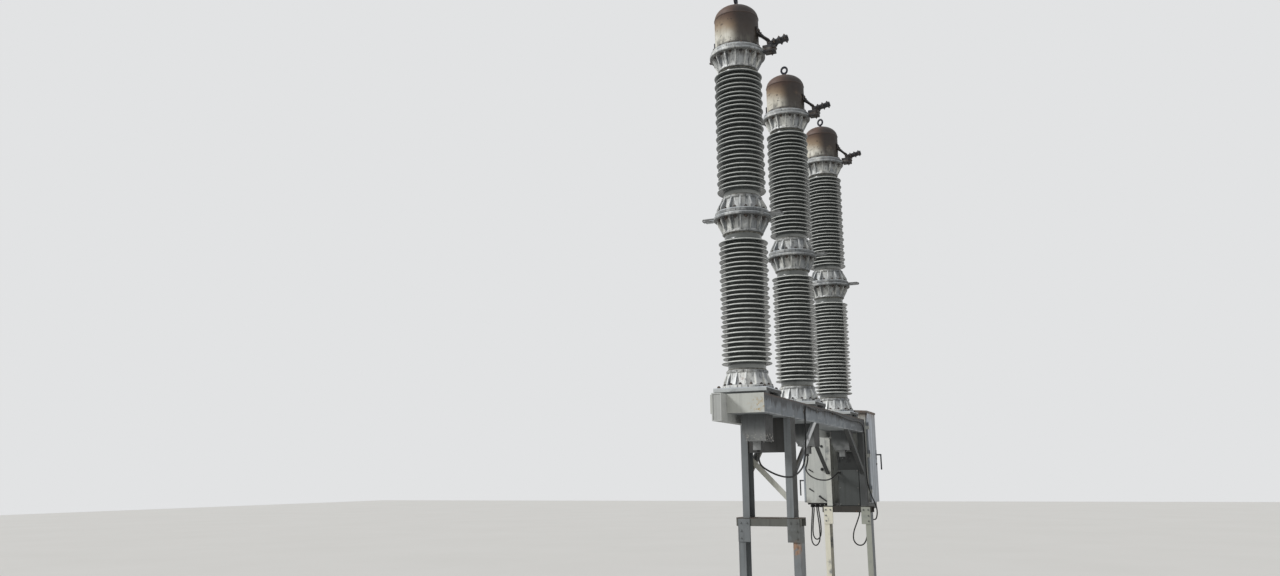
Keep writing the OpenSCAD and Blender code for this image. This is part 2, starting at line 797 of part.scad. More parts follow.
// Radius of all cables
cable_r = 8;
// Routes, chosen by hand, each from the gland it leaves to the gland it enters
pole_cable_route = [
    [-2300, -77, 1801], [-2300, -77, 1770], [-2290, -81, 1728], [-2255, -88, 1692],
    [-2180, -108, 1659], [-2060, -152, 1619], [-1930, -202, 1594], [-1840, -250, 1594],
    [-1740, -264, 1615], [-1600, -264, 1650], [-1490, -264, 1692], [-1410, -263, 1758],
    [-1355, -260, 1852], [-1318, -257, 1975], [-1306, -256, 2120], [-1298, -256, 2210],
    [-1250, -256, 2260], [-1130, -256, 2266], [-753, -256, 2250], [-403, -256, 2272],
    [-13, -256, 2274], [397, -256, 2254], [827, -256, 2240], [1400, -256, 2246],
    [1610, -256, 2205], [1676, -256, 2120], [1690, -256, 2020], [1700, -258, 1540],
    [1722, -295, 1360], [1764, -343, 1200], [1842, -318, 1082], [1900, -268, 1060],
    [1945, -200, 1092], [1958, -160, 1140], [1960, -150, 1185], [1960, -150, 1228]
];
relay_cable_route = [
    [-550, -77, 1801], [-550, -77, 1768], [-530, -62, 1722], [-450, -28, 1680],
    [-270, 3, 1635], [0, 22, 1590], [330, 30, 1560], [700, 42, 1550],
    [1060, 58, 1562], [1380, 70, 1602], [1560, 72, 1636], [1600, 72, 1640],
    [1621, 72, 1640]
];
link_cable_route = [
    [1697, -140, 1166], [1697, -140, 1130], [1690, -108, 1040], [1688, -62, 920],
    [1698, -54, 822], [1728, -92, 764], [1768, -148, 762], [1812, -184, 820],
    [1862, -198, 940], [1900, -183, 1110], [1905, -180, 1180], [1905, -180, 1228]
];
spare_loop_routes = [
    [
        [1910, 500, 1206], [1910, 500, 1168], [1917, 521, 970], [1923, 528, 800],
        [1924, 500, 738], [1924, 460, 738], [1922, 424, 800], [1916, 421, 970],
        [1910, 440, 1168], [1910, 440, 1206]
    ],
    [
        [2000, 500, 1206], [2000, 500, 1168], [2006, 520, 1010], [2012, 527, 866],
        [2012, 500, 808], [2012, 460, 808], [2012, 427, 866], [2006, 424, 1010],
        [2000, 440, 1168], [2000, 440, 1206]
    ]
];

module pole_cable() { color(dark_grey) tube(pole_cable_route, cable_r); }

module relay_cable() { color(dark_grey) tube(relay_cable_route, cable_r); }

module link_cable() { color(dark_grey) tube(link_cable_route, cable_r); }

module spare_loop(i) { color(dark_grey) tube(spare_loop_routes[i], cable_r); }

// Clips that hold the pole cable on the right beam's web, each at a point of its route
module cable_clips() {
    clip_w = 24;
    clip_h = 44;
    clip_t = 7;
    color(steel_grey) for (k = [15, 18, 20, 21, 23])
        translate([pole_cable_route[k][0] - clip_w / 2, -beam_y - clip_t,
                   pole_cable_route[k][2] - clip_h / 2])
            cube([clip_w, clip_t, clip_h]);
}

legs(near_post_x);  // near_legs
legs(far_post_x);  // far_legs
crossbeam(near_post_x);  // near_crossbeam
far_crossbeam();
posts(near_post_x);  // near_posts
posts(far_post_x);  // far_posts
shear_plate();
cross_brace();
knee_braces(near_post_x + channel_d, 1);  // near_knee_braces
knee_braces(far_post_x, -1);  // far_knee_braces
beam(1);  // left_beam
beam(-1);  // right_beam
near_end_plate();
far_end_plate();
frame_floor();
linkage_duct();
mount_plate(0);  // mount_plate_1
mount_plate(1);  // mount_plate_2
mount_plate(2);  // mount_plate_3
housing(0);  // housing_1
housing(1);  // housing_2
housing(2);  // housing_3
foot_flange(0);  // foot_flange_1
foot_flange(1);  // foot_flange_2
foot_flange(2);  // foot_flange_3
insulator(lower_ins_z, 0);  // lower_insulator_1
insulator(lower_ins_z, 1);  // lower_insulator_2
insulator(lower_ins_z, 2);  // lower_insulator_3
middle_flange(0);  // middle_flange_1
middle_flange(1);  // middle_flange_2
middle_flange(2);  // middle_flange_3
insulator(upper_ins_z, 0);  // upper_insulator_1
insulator(upper_ins_z, 1);  // upper_insulator_2
insulator(upper_ins_z, 2);  // upper_insulator_3
top_flange(0);  // top_flange_1
top_flange(1);  // top_flange_2
top_flange(2);  // top_flange_3
cap(0);  // cap_1
cap(1);  // cap_2
cap(2);  // cap_3
line_clamp(0);  // line_clamp_1
line_clamp(1);  // line_clamp_2
line_clamp(2);  // line_clamp_3
cabinet_body();
cabinet_roof();
right_door();
left_door();
cabinet_brackets();
gland_plate();
relay_box();
pole_cable();
relay_cable();
link_cable();
spare_loop(0);  // spare_loop_1
spare_loop(1);  // spare_loop_2
cable_clips();
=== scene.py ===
"""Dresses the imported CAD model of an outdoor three-pole circuit breaker for rendering."""

import math

import bpy
from bpy.props import FloatProperty, FloatVectorProperty, IntProperty, PointerProperty
from mathutils import Matrix, Vector


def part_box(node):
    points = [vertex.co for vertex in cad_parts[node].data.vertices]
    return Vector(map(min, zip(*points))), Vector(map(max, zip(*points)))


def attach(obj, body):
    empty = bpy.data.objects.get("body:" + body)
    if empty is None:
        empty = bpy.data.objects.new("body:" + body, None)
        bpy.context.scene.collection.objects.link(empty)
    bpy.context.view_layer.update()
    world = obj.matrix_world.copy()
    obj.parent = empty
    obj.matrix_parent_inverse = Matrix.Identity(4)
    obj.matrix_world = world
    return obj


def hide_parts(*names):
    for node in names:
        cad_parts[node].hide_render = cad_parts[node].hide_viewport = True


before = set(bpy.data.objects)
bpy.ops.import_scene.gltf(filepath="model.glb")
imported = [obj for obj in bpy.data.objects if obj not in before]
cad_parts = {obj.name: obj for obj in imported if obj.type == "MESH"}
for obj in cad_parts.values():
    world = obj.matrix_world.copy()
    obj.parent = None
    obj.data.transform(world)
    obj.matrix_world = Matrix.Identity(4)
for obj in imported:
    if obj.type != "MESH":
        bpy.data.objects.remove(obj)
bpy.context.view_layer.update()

bl_info = {
    "name": "Outdoor circuit breaker",
    "version": (1, 0, 0),
    "blender": (4, 5, 0),
    "location": "View3D > Sidebar > Breaker",
    "description": "Finishes and fittings of a three-pole outdoor circuit breaker",
    "category": "Object",
}

# Axes of the three poles along X, and the heights at which their pieces start
POLES = [sum(c[0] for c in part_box(f"cap_{i}")) / 2 for i in (1, 2, 3)]
POLE_Z, LOWER_Z, MIDDLE_Z, UPPER_Z, TOP_Z, CAP_Z = (
    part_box(f"{node}_1")[0][2] for node in ("foot_flange", "lower_insulator", "middle_flange",
                                           "upper_insulator", "top_flange", "cap"))
PORCELAIN_H = MIDDLE_Z - LOWER_Z
CORE_R = 0.168
CEMENT_H = 0.012
# Castings
BELL_H = 0.138
RIBS = 14
FOOT_RING_H, MIDDLE_RING_H, TOP_RING_H = 0.025, 0.070, 0.064
RING_R = 0.262
BOLT_CIRCLE_R = 0.222
PAD_REACH = 0.380
# Caps, with the height and turn of their lifting eyes
CAP_R = 0.208
CAP_WALL = 0.334
DOME = 0.139
EYE_LIFT = 0.0748
EYE_TURN = (0, 90, 72)
# Frame and stands
BEAM_Y = 0.240
BEAM_Z = 2.130
BEAM_TOP = 2.295
CROSSBEAM_TOP = 1.230
NEAR_POST = -1.800
FAR_POST = 1.635
CHANNEL = 0.165
FOOT_PLATE_TOP = 0.014
CABINET_LOW = (1.830, -0.250, 1.262)
CABINET_HIGH = (2.360, 0.550, 2.382)
# Camera: place, yaw, pitch and roll in degrees, focal length in pixels of the photo's width
PHOTO_EYE = (-10.283, -2.490, 1.6)
PHOTO_ANGLES = (23.83, 11.44, -0.506)
PHOTO_FOCUS, PHOTO_WIDTH = 935.95, 1280

X, Y, Z = range(3)
UP, DOWN, NEARWARD = (0, 0, 1), (0, 0, -1), (-1, 0, 0)
# Edges flatter than this are shaded smooth, in degrees
SMOOTH_BELOW = 38


def tone(red, green, blue):
    """Linear colour of a shade given as it is seen, 0 to 255."""

    def linear(value):
        value /= 255
        return value / 12.92 if value <= 0.04045 else ((value + 0.055) / 1.055) ** 2.4

    return (linear(red), linear(green), linear(blue))


def scaled(colour, share):
    """The same colour, lighter or darker."""
    return tuple(min(1, channel * share) for channel in colour)


# ---------------------------------------------------------------- user's sizes and colours


def length(name, description, default, low, high):
    return FloatProperty(name=name, description=description, default=default, min=low,
                         max=high, unit="LENGTH")


def shade(name, description, *seen):
    return FloatVectorProperty(name=name, description=description, default=tone(*seen),
                               min=0, max=1, subtype="COLOR")


class BreakerSizes(bpy.types.PropertyGroup):
    """Sizes that a user may change"""

    large_shed: length("Large shed", "Radius of the large sheds",
                       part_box("upper_insulator_1")[1][1], 0.2, 0.24)
    small_shed: length("Small shed", "Radius of the small sheds", 0.213, 0.19, 0.23)
    sheds: IntProperty(
        name="Large sheds", description="Number of large sheds on one insulator",
        default=14, min=6, max=16)
    cable: length("Cable", "Diameter of the control cables", 0.016, 0.008, 0.03)
    flange_bolt: length("Flange bolt", "Thread diameter of the flange bolts", 0.018,
                        0.01, 0.024)


class BreakerColours(bpy.types.PropertyGroup):
    """Colours that a user may change"""

    stand: shade("Stand", "Paint of posts, legs and braces", 112, 116, 118)
    beams: shade("Beams", "Paint of the two long beams", 112, 118, 124)
    casting: shade("Castings", "Bare cast metal of the pole flanges", 198, 200, 199)
    porcelain: shade("Porcelain", "Glaze of the insulators", 126, 131, 130)
    cap: shade("Caps", "Paint left on the pole caps", 150, 130, 106)
    cap_rust: shade("Cap rust", "Rust on the domes of the caps", 82, 59, 49)
    cabinet: shade("Cabinet", "Paint of the drive cabinet", 190, 192, 187)
    housing: shade("Housings", "Paint of the mechanism housings", 100, 103, 104)


# ---------------------------------------------------------------- modelling helpers


def shift(x, y, z):
    return Matrix.Translation((x, y, z))


def turn(degrees, axis):
    return Matrix.Rotation(math.radians(degrees), 4, axis)


def lying(point, direction, spin=0.0):
    """Matrix that takes the Z axis at the origin to a direction at a point."""
    way = Vector(direction).normalized().to_track_quat("Z", "Y").to_matrix().to_4x4()
    return shift(*point) @ way @ Matrix.Rotation(spin, 4, "Z")


def pick(*pieces):
    """Selects only these objects, the last one active."""
    if bpy.context.object and bpy.context.object.mode != "OBJECT":
        bpy.ops.object.mode_set(mode="OBJECT")
    bpy.ops.object.select_all(action="DESELECT")
    for piece in pieces:
        piece.select_set(True)
        bpy.context.view_layer.objects.active = piece


def edit(piece):
    """Opens a piece in edit mode with all of it selected."""
    pick(piece)
    bpy.ops.object.mode_set(mode="EDIT")
    bpy.ops.mesh.select_all(action="SELECT")


def bake_place():
    """Puts the place of the picked object into its mesh."""
    bpy.ops.object.transform_apply(location=True, rotation=True, scale=True)


def settle(piece):
    """Turns the faces outwards and leaves edit mode."""
    edit(piece)
    bpy.ops.mesh.normals_make_consistent(inside=False)
    pick(piece)
    bake_place()
    return piece


def lathe(outline, sides=48, closed=True):
    """Stacks rings (radius, height) up the Z axis by extruding and resizing a circle."""
    pick()
    radius, height = outline[0]
    bpy.ops.mesh.primitive_circle_add(
        vertices=sides, radius=radius, fill_type="NGON" if closed else "NOTHING",
        location=(0, 0, height))
    piece = bpy.context.object
    bake_place()
    edit(piece)
    for wide, high in outline[1:]:
        bpy.ops.mesh.extrude_region_move(
            TRANSFORM_OT_translate={"value": (0, 0, high - height)})
        ratio = wide / radius
        bpy.ops.transform.resize(value=(ratio, ratio, 1), center_override=(0, 0, high))
        radius, height = wide, high
    return settle(piece)


def block(low, high, bevel=0.002, segments=2):
    """Box between two corners with rounded edges."""
    pick()
    low, high = Vector(low), Vector(high)
    bpy.ops.mesh.primitive_cube_add(size=1, location=(low + high) / 2, scale=high - low)
    piece = bpy.context.object
    bake_place()
    edit(piece)
    bpy.ops.mesh.bevel(offset=bevel, segments=segments, affect="EDGES")
    return settle(piece)


def moved(piece, matrix):
    piece.data.transform(matrix)
    return piece


def rod(start, end, radius, sides=12):
    """Round bar with softened ends."""
    start, end = Vector(start), Vector(end)
    long = (end - start).length
    edge = min(radius * 0.2, long * 0.2)
    bar = lathe([(radius - edge, 0), (radius, edge), (radius, long - edge),
                 (radius - edge, long)], sides)
    return moved(bar, lying(start, end - start))


def joined(pieces):
    """Joins objects into the first one."""
    pick(*pieces[1:], pieces[0])
    if len(pieces) > 1:
        bpy.ops.object.join()
    return bpy.context.object


def copies(template, matrices, spare=True):
    """Copies of a template, each with its own mesh, joined. The template goes unless spare."""
    made = []
    for matrix in matrices:
        twin = template.copy()
        twin.data = template.data.copy()
        bpy.context.collection.objects.link(twin)
        made.append(moved(twin, matrix))
    if not spare:
        bpy.data.objects.remove(template)
    return joined(made)


def keep(piece, name, finish, body="frame", stands_for=()):
    """Names a finished piece, gives it its finish and lets it ride on a body."""
    pick(piece)
    piece.name = piece.data.name = name
    bake_place()
    if finish:
        piece.data.materials.clear()
        piece.data.materials.append(FINISH[finish])
    bpy.ops.object.shade_smooth_by_angle(angle=math.radians(SMOOTH_BELOW))
    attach(piece, body)
    if stands_for:
        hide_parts(*stands_for)


def bolt(size, stud):
    """Washer, hexagon nut and thread end, standing on Z = 0. Up to 1 no thread shows."""
    rings = [(((1, 0), (1, 0.12), (0.95, 0.16)), 14),
             (((0.85, 0.16), (0.85, 0.88), (0.74, 0.98)), 6)]
    if stud > 1:
        rings.append((((0.5, 0.9), (0.5, stud), (0.4, stud + 0.08)), 10))
    return joined([lathe([(size * wide, size * high) for wide, high in outline], sides)
                   for outline, sides in rings])


def bolts(name, size, places, finish="dark_bolt", stud=1.25):
    """One piece of bolts: places are (point, direction)."""
    spots = [lying(point, way, 0.5 * k) for k, (point, way) in enumerate(places)]
    keep(copies(bolt(size, stud), spots, spare=False), name, finish)


def between_ribs(x, z, radius, way):
    """Bolt places round a pole, one between every two ribs."""
    angles = [k * math.tau / RIBS for k in range(RIBS)]
    return [((x + radius * math.cos(a), radius * math.sin(a), z), way) for a in angles]


def gland(point, direction, radius=0.013):
    """Cable gland body over its CAD cylinder: two hexagons and a domed nut."""
    body = lathe([(radius * 1.35, 0), (radius * 1.35, 0.007), (radius * 1.22, 0.009)], 6)
    nut = lathe([(radius * 1.3, 0.011), (radius * 1.3, 0.019), (radius * 1.05, 0.0232)], 6)
    return moved(joined([body, nut]), lying(point, direction))


# ---------------------------------------------------------------- finishes

FINISH = {}
RUST = tone(126, 78, 48)
DUST = tone(176, 168, 150)
# Dark grime, also laid as painted shade at the lower edges of the casting rings.
GRIME_AND_SHADE = tone(46, 45, 42)


class Finish:
    """A node material under construction, which takes one coat of colour after another."""

    def __init__(self, name, colour, roughness=0.7, metallic=0.0):
        material = FINISH[name] = bpy.data.materials.new(name)
        material.use_nodes = True
        self.tree = material.node_tree
        self.shader = self.tree.nodes["Principled BSDF"]
        self.shader.inputs["Roughness"].default_value = roughness
        self.shader.inputs["Metallic"].default_value = metallic
        self.colour = tuple(colour)
        own = self.new("TexCoord").outputs
        self.place = own["Object"]
        self.at = self.split(self.place)
        self.faces = self.split(own["Normal"])

    def new(self, kind):
        return self.tree.nodes.new("ShaderNode" + kind)

    def put(self, value, socket):
        if isinstance(value, bpy.types.NodeSocket):
            self.tree.links.new(value, socket)
        elif isinstance(value, tuple) or hasattr(value, "hsv"):
            socket.default_value = (*value, 1)
        else:
            socket.default_value = value

    def split(self, vector):
        node = self.new("SeparateXYZ")
        self.put(vector, node.inputs[0])
        return node.outputs

    def maths(self, operation, first, second=0.0):
        node = self.new("Math")
        node.operation = operation
        self.put(first, node.inputs[0])
        self.put(second, node.inputs[1])
        return node.outputs[0]

    def noise(self, scale, detail=4, stretch=(1, 1, 1), offset=(0, 0, 0)):
        node = self.new("TexNoise")
        for socket, value in (("Scale", scale), ("Detail", detail), ("Roughness", 0.6)):
            node.inputs[socket].default_value = value
        mapping = self.new("Mapping")
        mapping.inputs["Scale"].default_value = stretch
        mapping.inputs["Location"].default_value = offset
        self.put(self.place, mapping.inputs[0])
        self.put(mapping.outputs[0], node.inputs["Vector"])
        return node.outputs[0]

    def mask(self, value, low, high, strength=1.0):
        """0 below low and strength above high, or the other way where low is the larger."""
        node = self.new("MapRange")
        node.interpolation_type = "SMOOTHSTEP"
        self.put(value, node.inputs[0])
        ends = (low, high, 0, strength) if low < high else (high, low, strength, 0)
        for socket, end in zip(node.inputs[1:5], ends):
            socket.default_value = end
        return node.outputs[0]

    def blots(self, scale, detail, low, high, strength=1.0, offset=(0, 0, 0)):
        """Blots of a noise."""
        return self.mask(self.noise(scale, detail, offset=offset), low, high, strength)

    def runs(self, stretch, detail, low, high, strength=1.0, offset=(0, 0, 0)):
        """Noise drawn out to runs: stretch is how fine it is along each axis."""
        return self.mask(self.noise(1, detail, stretch, offset), low, high, strength)

    def past(self, axis, low, high, strength=1.0):
        """Mask that grows along an axis."""
        return self.mask(self.at[axis], low, high, strength)

    def facing(self, axis, low, high, strength=1.0):
        """Mask by the way in which a face looks."""
        return self.mask(self.faces[axis], low, high, strength)

    def within(self, axis, low, high, soft=0.01):
        """Band between two places along an axis."""
        return self.both(self.past(axis, low - soft, low + soft),
                         self.past(axis, high + soft, high - soft))

    def ragged(self, value, noise, reach):
        """A value that wavers with a noise."""
        return self.maths("ADD", value, self.maths(
            "MULTIPLY", self.maths("SUBTRACT", noise, 0.5), reach))

    def near(self, point, inner, outer, strength, ragged=0.0):
        """Spot round a point, with a ragged edge where asked."""
        node = self.new("VectorMath")
        node.operation = "DISTANCE"
        self.put(self.place, node.inputs[0])
        node.inputs[1].default_value = point
        away = self.ragged(node.outputs["Value"], self.noise(18), ragged)
        return self.mask(away, outer, inner, strength)

    def from_axis(self):
        """Distance from the axis of the nearest pole."""
        pitch = POLES[1] - POLES[0]
        along = self.maths("SUBTRACT", self.maths(
            "FLOORED_MODULO", self.maths("SUBTRACT", self.at[X], POLES[0] - pitch / 2), pitch),
            pitch / 2)
        square = self.maths("ADD", self.maths("MULTIPLY", along, along),
                            self.maths("MULTIPLY", self.at[Y], self.at[Y]))
        return self.maths("SQRT", square)

    def both(self, *masks):
        result = masks[0]
        for mask in masks[1:]:
            result = self.maths("MULTIPLY", result, mask)
        return result

    def coat(self, over, *masks):
        """Lays a colour over what is there, as far as all the masks let it."""
        node = self.new("Mix")
        node.data_type = "RGBA"
        self.put(self.both(*masks), node.inputs[0])
        self.put(self.colour, node.inputs[6])
        self.put(over, node.inputs[7])
        self.colour = node.outputs[2]

    def relief(self, *layers):
        """Bump from noises: their scale, detail and depth."""
        normal = None
        for scale, detail, depth in layers:
            node = self.new("Bump")
            node.inputs["Strength"].default_value = 0.8
            node.inputs["Distance"].default_value = depth
            self.put(self.noise(scale, detail), node.inputs["Height"])
            if normal:
                self.put(normal, node.inputs["Normal"])
            normal = node.outputs[0]
        self.put(normal, self.shader.inputs["Normal"])

    def done(self, dull=None, spread=0.0, least=0.0):
        """Joins up the colour, and a roughness that changes from place to place."""
        self.put(self.colour, self.shader.inputs["Base Color"])
        if dull is not None:
            self.put(self.maths("ADD", self.maths("MULTIPLY", dull, spread), least),
                     self.shader.inputs["Roughness"])


def painted(name, base, streaks=0.45, mottle=0.35, rust=0.12, dust=0.35, dirt=0.3,
            light=1.22, rough=(0.5, 0.8), more=None):
    """Weathered paint: broad fading, rain streaks, mottling, rust specks, dust on top, painted
    shade below.
    """
    f = Finish(name, base)
    f.coat(scaled(base, light), f.blots(1.7, 5, 0.38, 0.66))
    f.coat(scaled(base, 0.45), f.blots(5.5, 5, 0.52, 0.75, dirt, (3, 1, 7)))
    upright = f.mask(f.maths("ABSOLUTE", f.faces[Z]), 0.6, 0.3)
    f.coat(scaled(base, 0.42), f.runs((34, 34, 1.6), 6, 0.5, 0.7, streaks), upright)
    f.coat(scaled(base, 1.6), upright,
           f.runs((48, 48, 2.4), 5, 0.58, 0.74, streaks * 0.55, (9, 4, 2)))
    f.coat(scaled(base, 0.55), f.blots(70, 4, 0.56, 0.72, mottle))
    f.coat(RUST, f.blots(26, 6, 0.64, 0.72, 1, (5, 5, 1)),
           f.blots(2.2, 3, 0.5, 0.62, 1, (1, 8, 4)), rust * 4)
    f.coat(DUST, f.facing(Z, 0.55, 0.9), f.blots(16, 5, 0.35, 0.6, dust))
    # Painted shade: faces turned down are darker.
    f.coat(scaled(base, 0.35), f.facing(Z, -0.5, -0.95, 0.45))
    if more:
        more(f)
    f.relief((120, 3, 0.0005), (9, 4, 0.0012))
    f.done(f.noise(14), rough[1] - rough[0], rough[0])


def near_leg(f):
    """Rust patch under the right splice plate, the right leg darker above it, stains near the
    ground.
    """
    x, y = -1.81, -0.262
    f.coat(tone(158, 122, 94), f.near((x, y, 0.965), 0.03, 0.09, 0.8, 0.09),
           f.blots(26, 6, 0.40, 0.58))
    f.coat(tone(84, 62, 50), f.near((x, y, 0.975), 0.02, 0.08, 0.8, 0.05),
           f.runs((60, 60, 12), 4, 0.54, 0.6))
    f.coat(tone(132, 98, 76), f.near((x, y, 0.88), 0.03, 0.11, 0.4, 0.05),
           f.runs((60, 60, 3), 4, 0.5, 0.64))
    f.coat(tone(78, 79, 74), f.past(Y, -0.1, -0.2), f.past(Z, 0.99, 1.02),
           f.blots(9, 4, 0.2, 0.5, 0.7))
    f.coat(tone(92, 84, 70), f.within(Z, 0.0, 0.22, 0.12), f.blots(8, 5, 0.42, 0.6, 0.6))


def painted_away_shade(f, colour, scale):
    """Painted shade on the sides turned away from the light."""
    f.coat(colour, f.facing(Y, -0.4, -0.9, 0.95), f.blots(scale, 4, 0.1, 0.4))


def near_post(f):
    # Painted shade on the side turned away from the light.
    painted_away_shade(f, tone(40, 40, 37), 5)


def far_post(f):
    """Painted sunlight on the near face of the left post, painted shade on the right post."""
    f.coat(tone(206, 207, 199), f.past(Y, 0.1, 0.18), f.facing(X, -0.2, -0.7),
           f.blots(6, 4, 0.22, 0.46, 0.85))
    f.coat(tone(56, 58, 57), f.past(Y, -0.1, -0.18), f.blots(4, 4, 0.05, 0.3, 0.85))


def far_leg(f):
    """Painted sunlight on the near faces of both legs, more on the left one."""
    f.coat(tone(226, 222, 204), f.past(Y, 0.1, 0.2), f.facing(X, -0.2, -0.7),
           f.blots(6, 4, 0.25, 0.46, 0.9))
    f.coat(tone(166, 168, 154), f.past(Y, -0.1, -0.2), f.facing(X, -0.2, -0.7),
           f.blots(5, 4, 0.22, 0.48, 0.7))


def stains_and_highlight(f):
    """Rusty edge of the top flange, dark drips under it, darker towards the far end, and a painted
    highlight along the lower flange.
    """
    f.coat(tone(54, 56, 57), f.past(X, 0.2, 1.4, 0.65))
    level = f.ragged(f.at[Z], f.noise(1, 6, (15, 15, 3)), 0.24)
    f.coat(tone(44, 45, 46), f.mask(level, 2.20, 2.262, 0.9), f.blots(30, 5, 0.2, 0.45))
    f.coat(tone(74, 58, 48), f.past(Z, 2.279, 2.286), f.blots(12, 5, 0.3, 0.5, 0.85))
    f.coat(tone(34, 35, 36), f.blots(9, 3, 0.64, 0.7, 0.85, (4, 4, 4)), f.past(Z, 2.19, 2.25))
    f.coat(tone(158, 164, 168), f.within(Z, 2.13, 2.20, 0.02),
           f.runs((5, 5, 14), 5, 0.5, 0.62, 0.45))
    # Painted highlight along the lower flange.
    f.coat(tone(176, 180, 182), f.past(Z, 2.142, 2.136), f.blots(7, 4, 0.35, 0.55, 0.6))


def rusty_edge(f):
    f.coat(tone(66, 52, 44), f.past(Z, CROSSBEAM_TOP - 0.012, CROSSBEAM_TOP - 0.007),
           f.blots(10, 5, 0.3, 0.5, 0.8))


def plate_edges(f):
    """Pale near faces and upper edges of the plates, partly bare metal, partly painted light;
    painted shade on the away sides.
    """
    painted_away_shade(f, tone(42, 43, 43), 6)
    # Pale near faces and upper edges: partly bare metal, partly painted light.
    f.coat(tone(200, 204, 203), f.facing(X, -0.5, -0.9),
           f.past(Z, POLE_Z - 0.04, POLE_Z - 0.036), f.blots(7, 5, 0.25, 0.5, 0.9))
    f.coat(tone(206, 212, 218), f.past(Z, POLE_Z - 0.010, POLE_Z - 0.006),
           f.blots(10, 4, 0.25, 0.5, 0.9))


def end_face(f):
    """Yellowish spots on the near end."""
    f.coat(tone(168, 140, 84), f.near((-2.626, -0.19, 2.18), 0.02, 0.12, 0.9),
           f.blots(42, 4, 0.55, 0.64))
    f.coat(tone(186, 160, 110), f.near((-2.626, -0.215, 2.20), 0.0, 0.09, 0.5),
           f.blots(30, 4, 0.5, 0.62, 1, (1, 2, 3)))


def duct_face(f):
    """Slightly darker panel inside the edges of the duct's near end."""
    f.coat(tone(120, 122, 120), f.past(X, -2.766, -2.7725), f.within(Y, 0.1, 0.165, 0.002),
           f.within(Z, 2.07, 2.285, 0.002), 0.35)


def painted_lit_top(f):
    """Painted sunlight: a bright band at the head of the brace."""
    f.coat(tone(224, 226, 228), f.past(Z, 1.82, 1.92), f.blots(9, 4, 0.25, 0.45, 0.9))


def specks_and_shade(f):
    """Painted shade on the away side; darker at the top, paler low on the near face, pale specks
    near the lower edge.
    """
    painted_away_shade(f, tone(34, 34, 33), 6)
    f.coat(tone(168, 170, 170), f.past(Z, 2.04, 1.93, 0.72), f.facing(X, -0.4, -0.9),
           f.blots(7, 5, 0.25, 0.55))
    f.coat(tone(196, 194, 186), f.within(Z, 1.9, 1.955, 0.03),
           f.blots(52, 4, 0.54, 0.62, 0.85), f.past(X, -1.9, -2.0))
    f.coat(tone(36, 37, 38), f.past(Z, 2.02, 2.10), f.blots(3, 4, 0.4, 0.6, 0.4))


def clamp_marks(f):
    """Brownish where the clamp sits on its lug."""
    f.coat(tone(72, 62, 54), f.past(Y, -0.42, -0.36), f.blots(20, 4, 0.4, 0.6, 0.5))


def run_down(f):
    """Brown dirt under the roof edge, pale bluish runs on the away side, partly rain tracks,
    partly painted skylight, and dirt at the foot.
    """
    f.coat(tone(112, 96, 84), f.past(Z, 2.26, 2.385), f.blots(9, 5, 0.34, 0.6, 0.8))
    # Pale bluish runs on the faces turned away: partly rain tracks, partly painted skylight.
    f.coat(tone(206, 212, 222), f.facing(Y, -0.5, -0.9),
           f.runs((22, 22, 1.1), 5, 0.46, 0.62, 0.7))
    f.coat(tone(104, 100, 92), f.past(Z, 1.36, 1.27), f.blots(12, 5, 0.42, 0.62, 0.5))


def door_marks(f):
    """Dark handles on both doors."""
    run_down(f)
    right = f.both(f.past(Y, -0.2825, -0.2835), f.past(X, 2.22, 2.225))
    left = f.both(f.past(Y, 0.5825, 0.5835), f.past(X, 1.97, 1.965))
    f.coat(tone(44, 46, 48), f.maths("MAXIMUM", right, left))


def roof_dirt(f):
    f.coat(tone(104, 80, 66), f.blots(8, 5, 0.44, 0.6, 0.75))


def relay_marks(f):
    """Darker head of the box with black smears, black joint line under it."""
    f.coat(tone(29, 31, 30), f.past(Z, 1.675, 1.69, 0.85))
    f.coat(tone(10, 10, 10), f.within(Z, 1.72, 1.88, 0.02), f.within(Y, -0.10, 0.07, 0.02),
           f.blots(17, 5, 0.50, 0.56, 0.95))
    f.coat(tone(12, 12, 12), f.within(Z, 1.672, 1.682, 0.003))


def dusty_top(f):
    f.coat(tone(66, 64, 58), f.facing(Z, 0.5, 0.98), f.blots(30, 4, 0.48, 0.66, 0.3))


# Two-tone finishes: roughness, metal, noise mask, two colours, relief
TWO_TONE = {
    "cement": (0.95, 0, (40, 5, 0.4, 0.6), tone(132, 130, 122), tone(84, 83, 78), (90, 4, 0.002)),
    "eye_steel": (0.5, 0.3, (45, 4, 0.46, 0.68), tone(26, 31, 44), tone(54, 46, 44),
                  (180, 3, 0.0005)),
    "dark_bolt": (0.55, 0.4, (60, 4, 0.4, 0.65), tone(62, 62, 64), tone(96, 82, 70),
                  (300, 2, 0.0003)),
    "zinc_bolt": (0.45, 0.6, (50, 4, 0.42, 0.66), tone(150, 152, 152), tone(108, 92, 78),
                  (300, 2, 0.0003)),
    "rubber": (0.75, 0, (40, 4, 0.42, 0.62), tone(26, 26, 27), tone(48, 47, 45),
               (220, 3, 0.0004)),
    "cable_sheath": (0.55, 0, (16, 5, 0.46, 0.68), tone(10, 10, 11), tone(26, 25, 23),
                     (260, 3, 0.0003)),
}


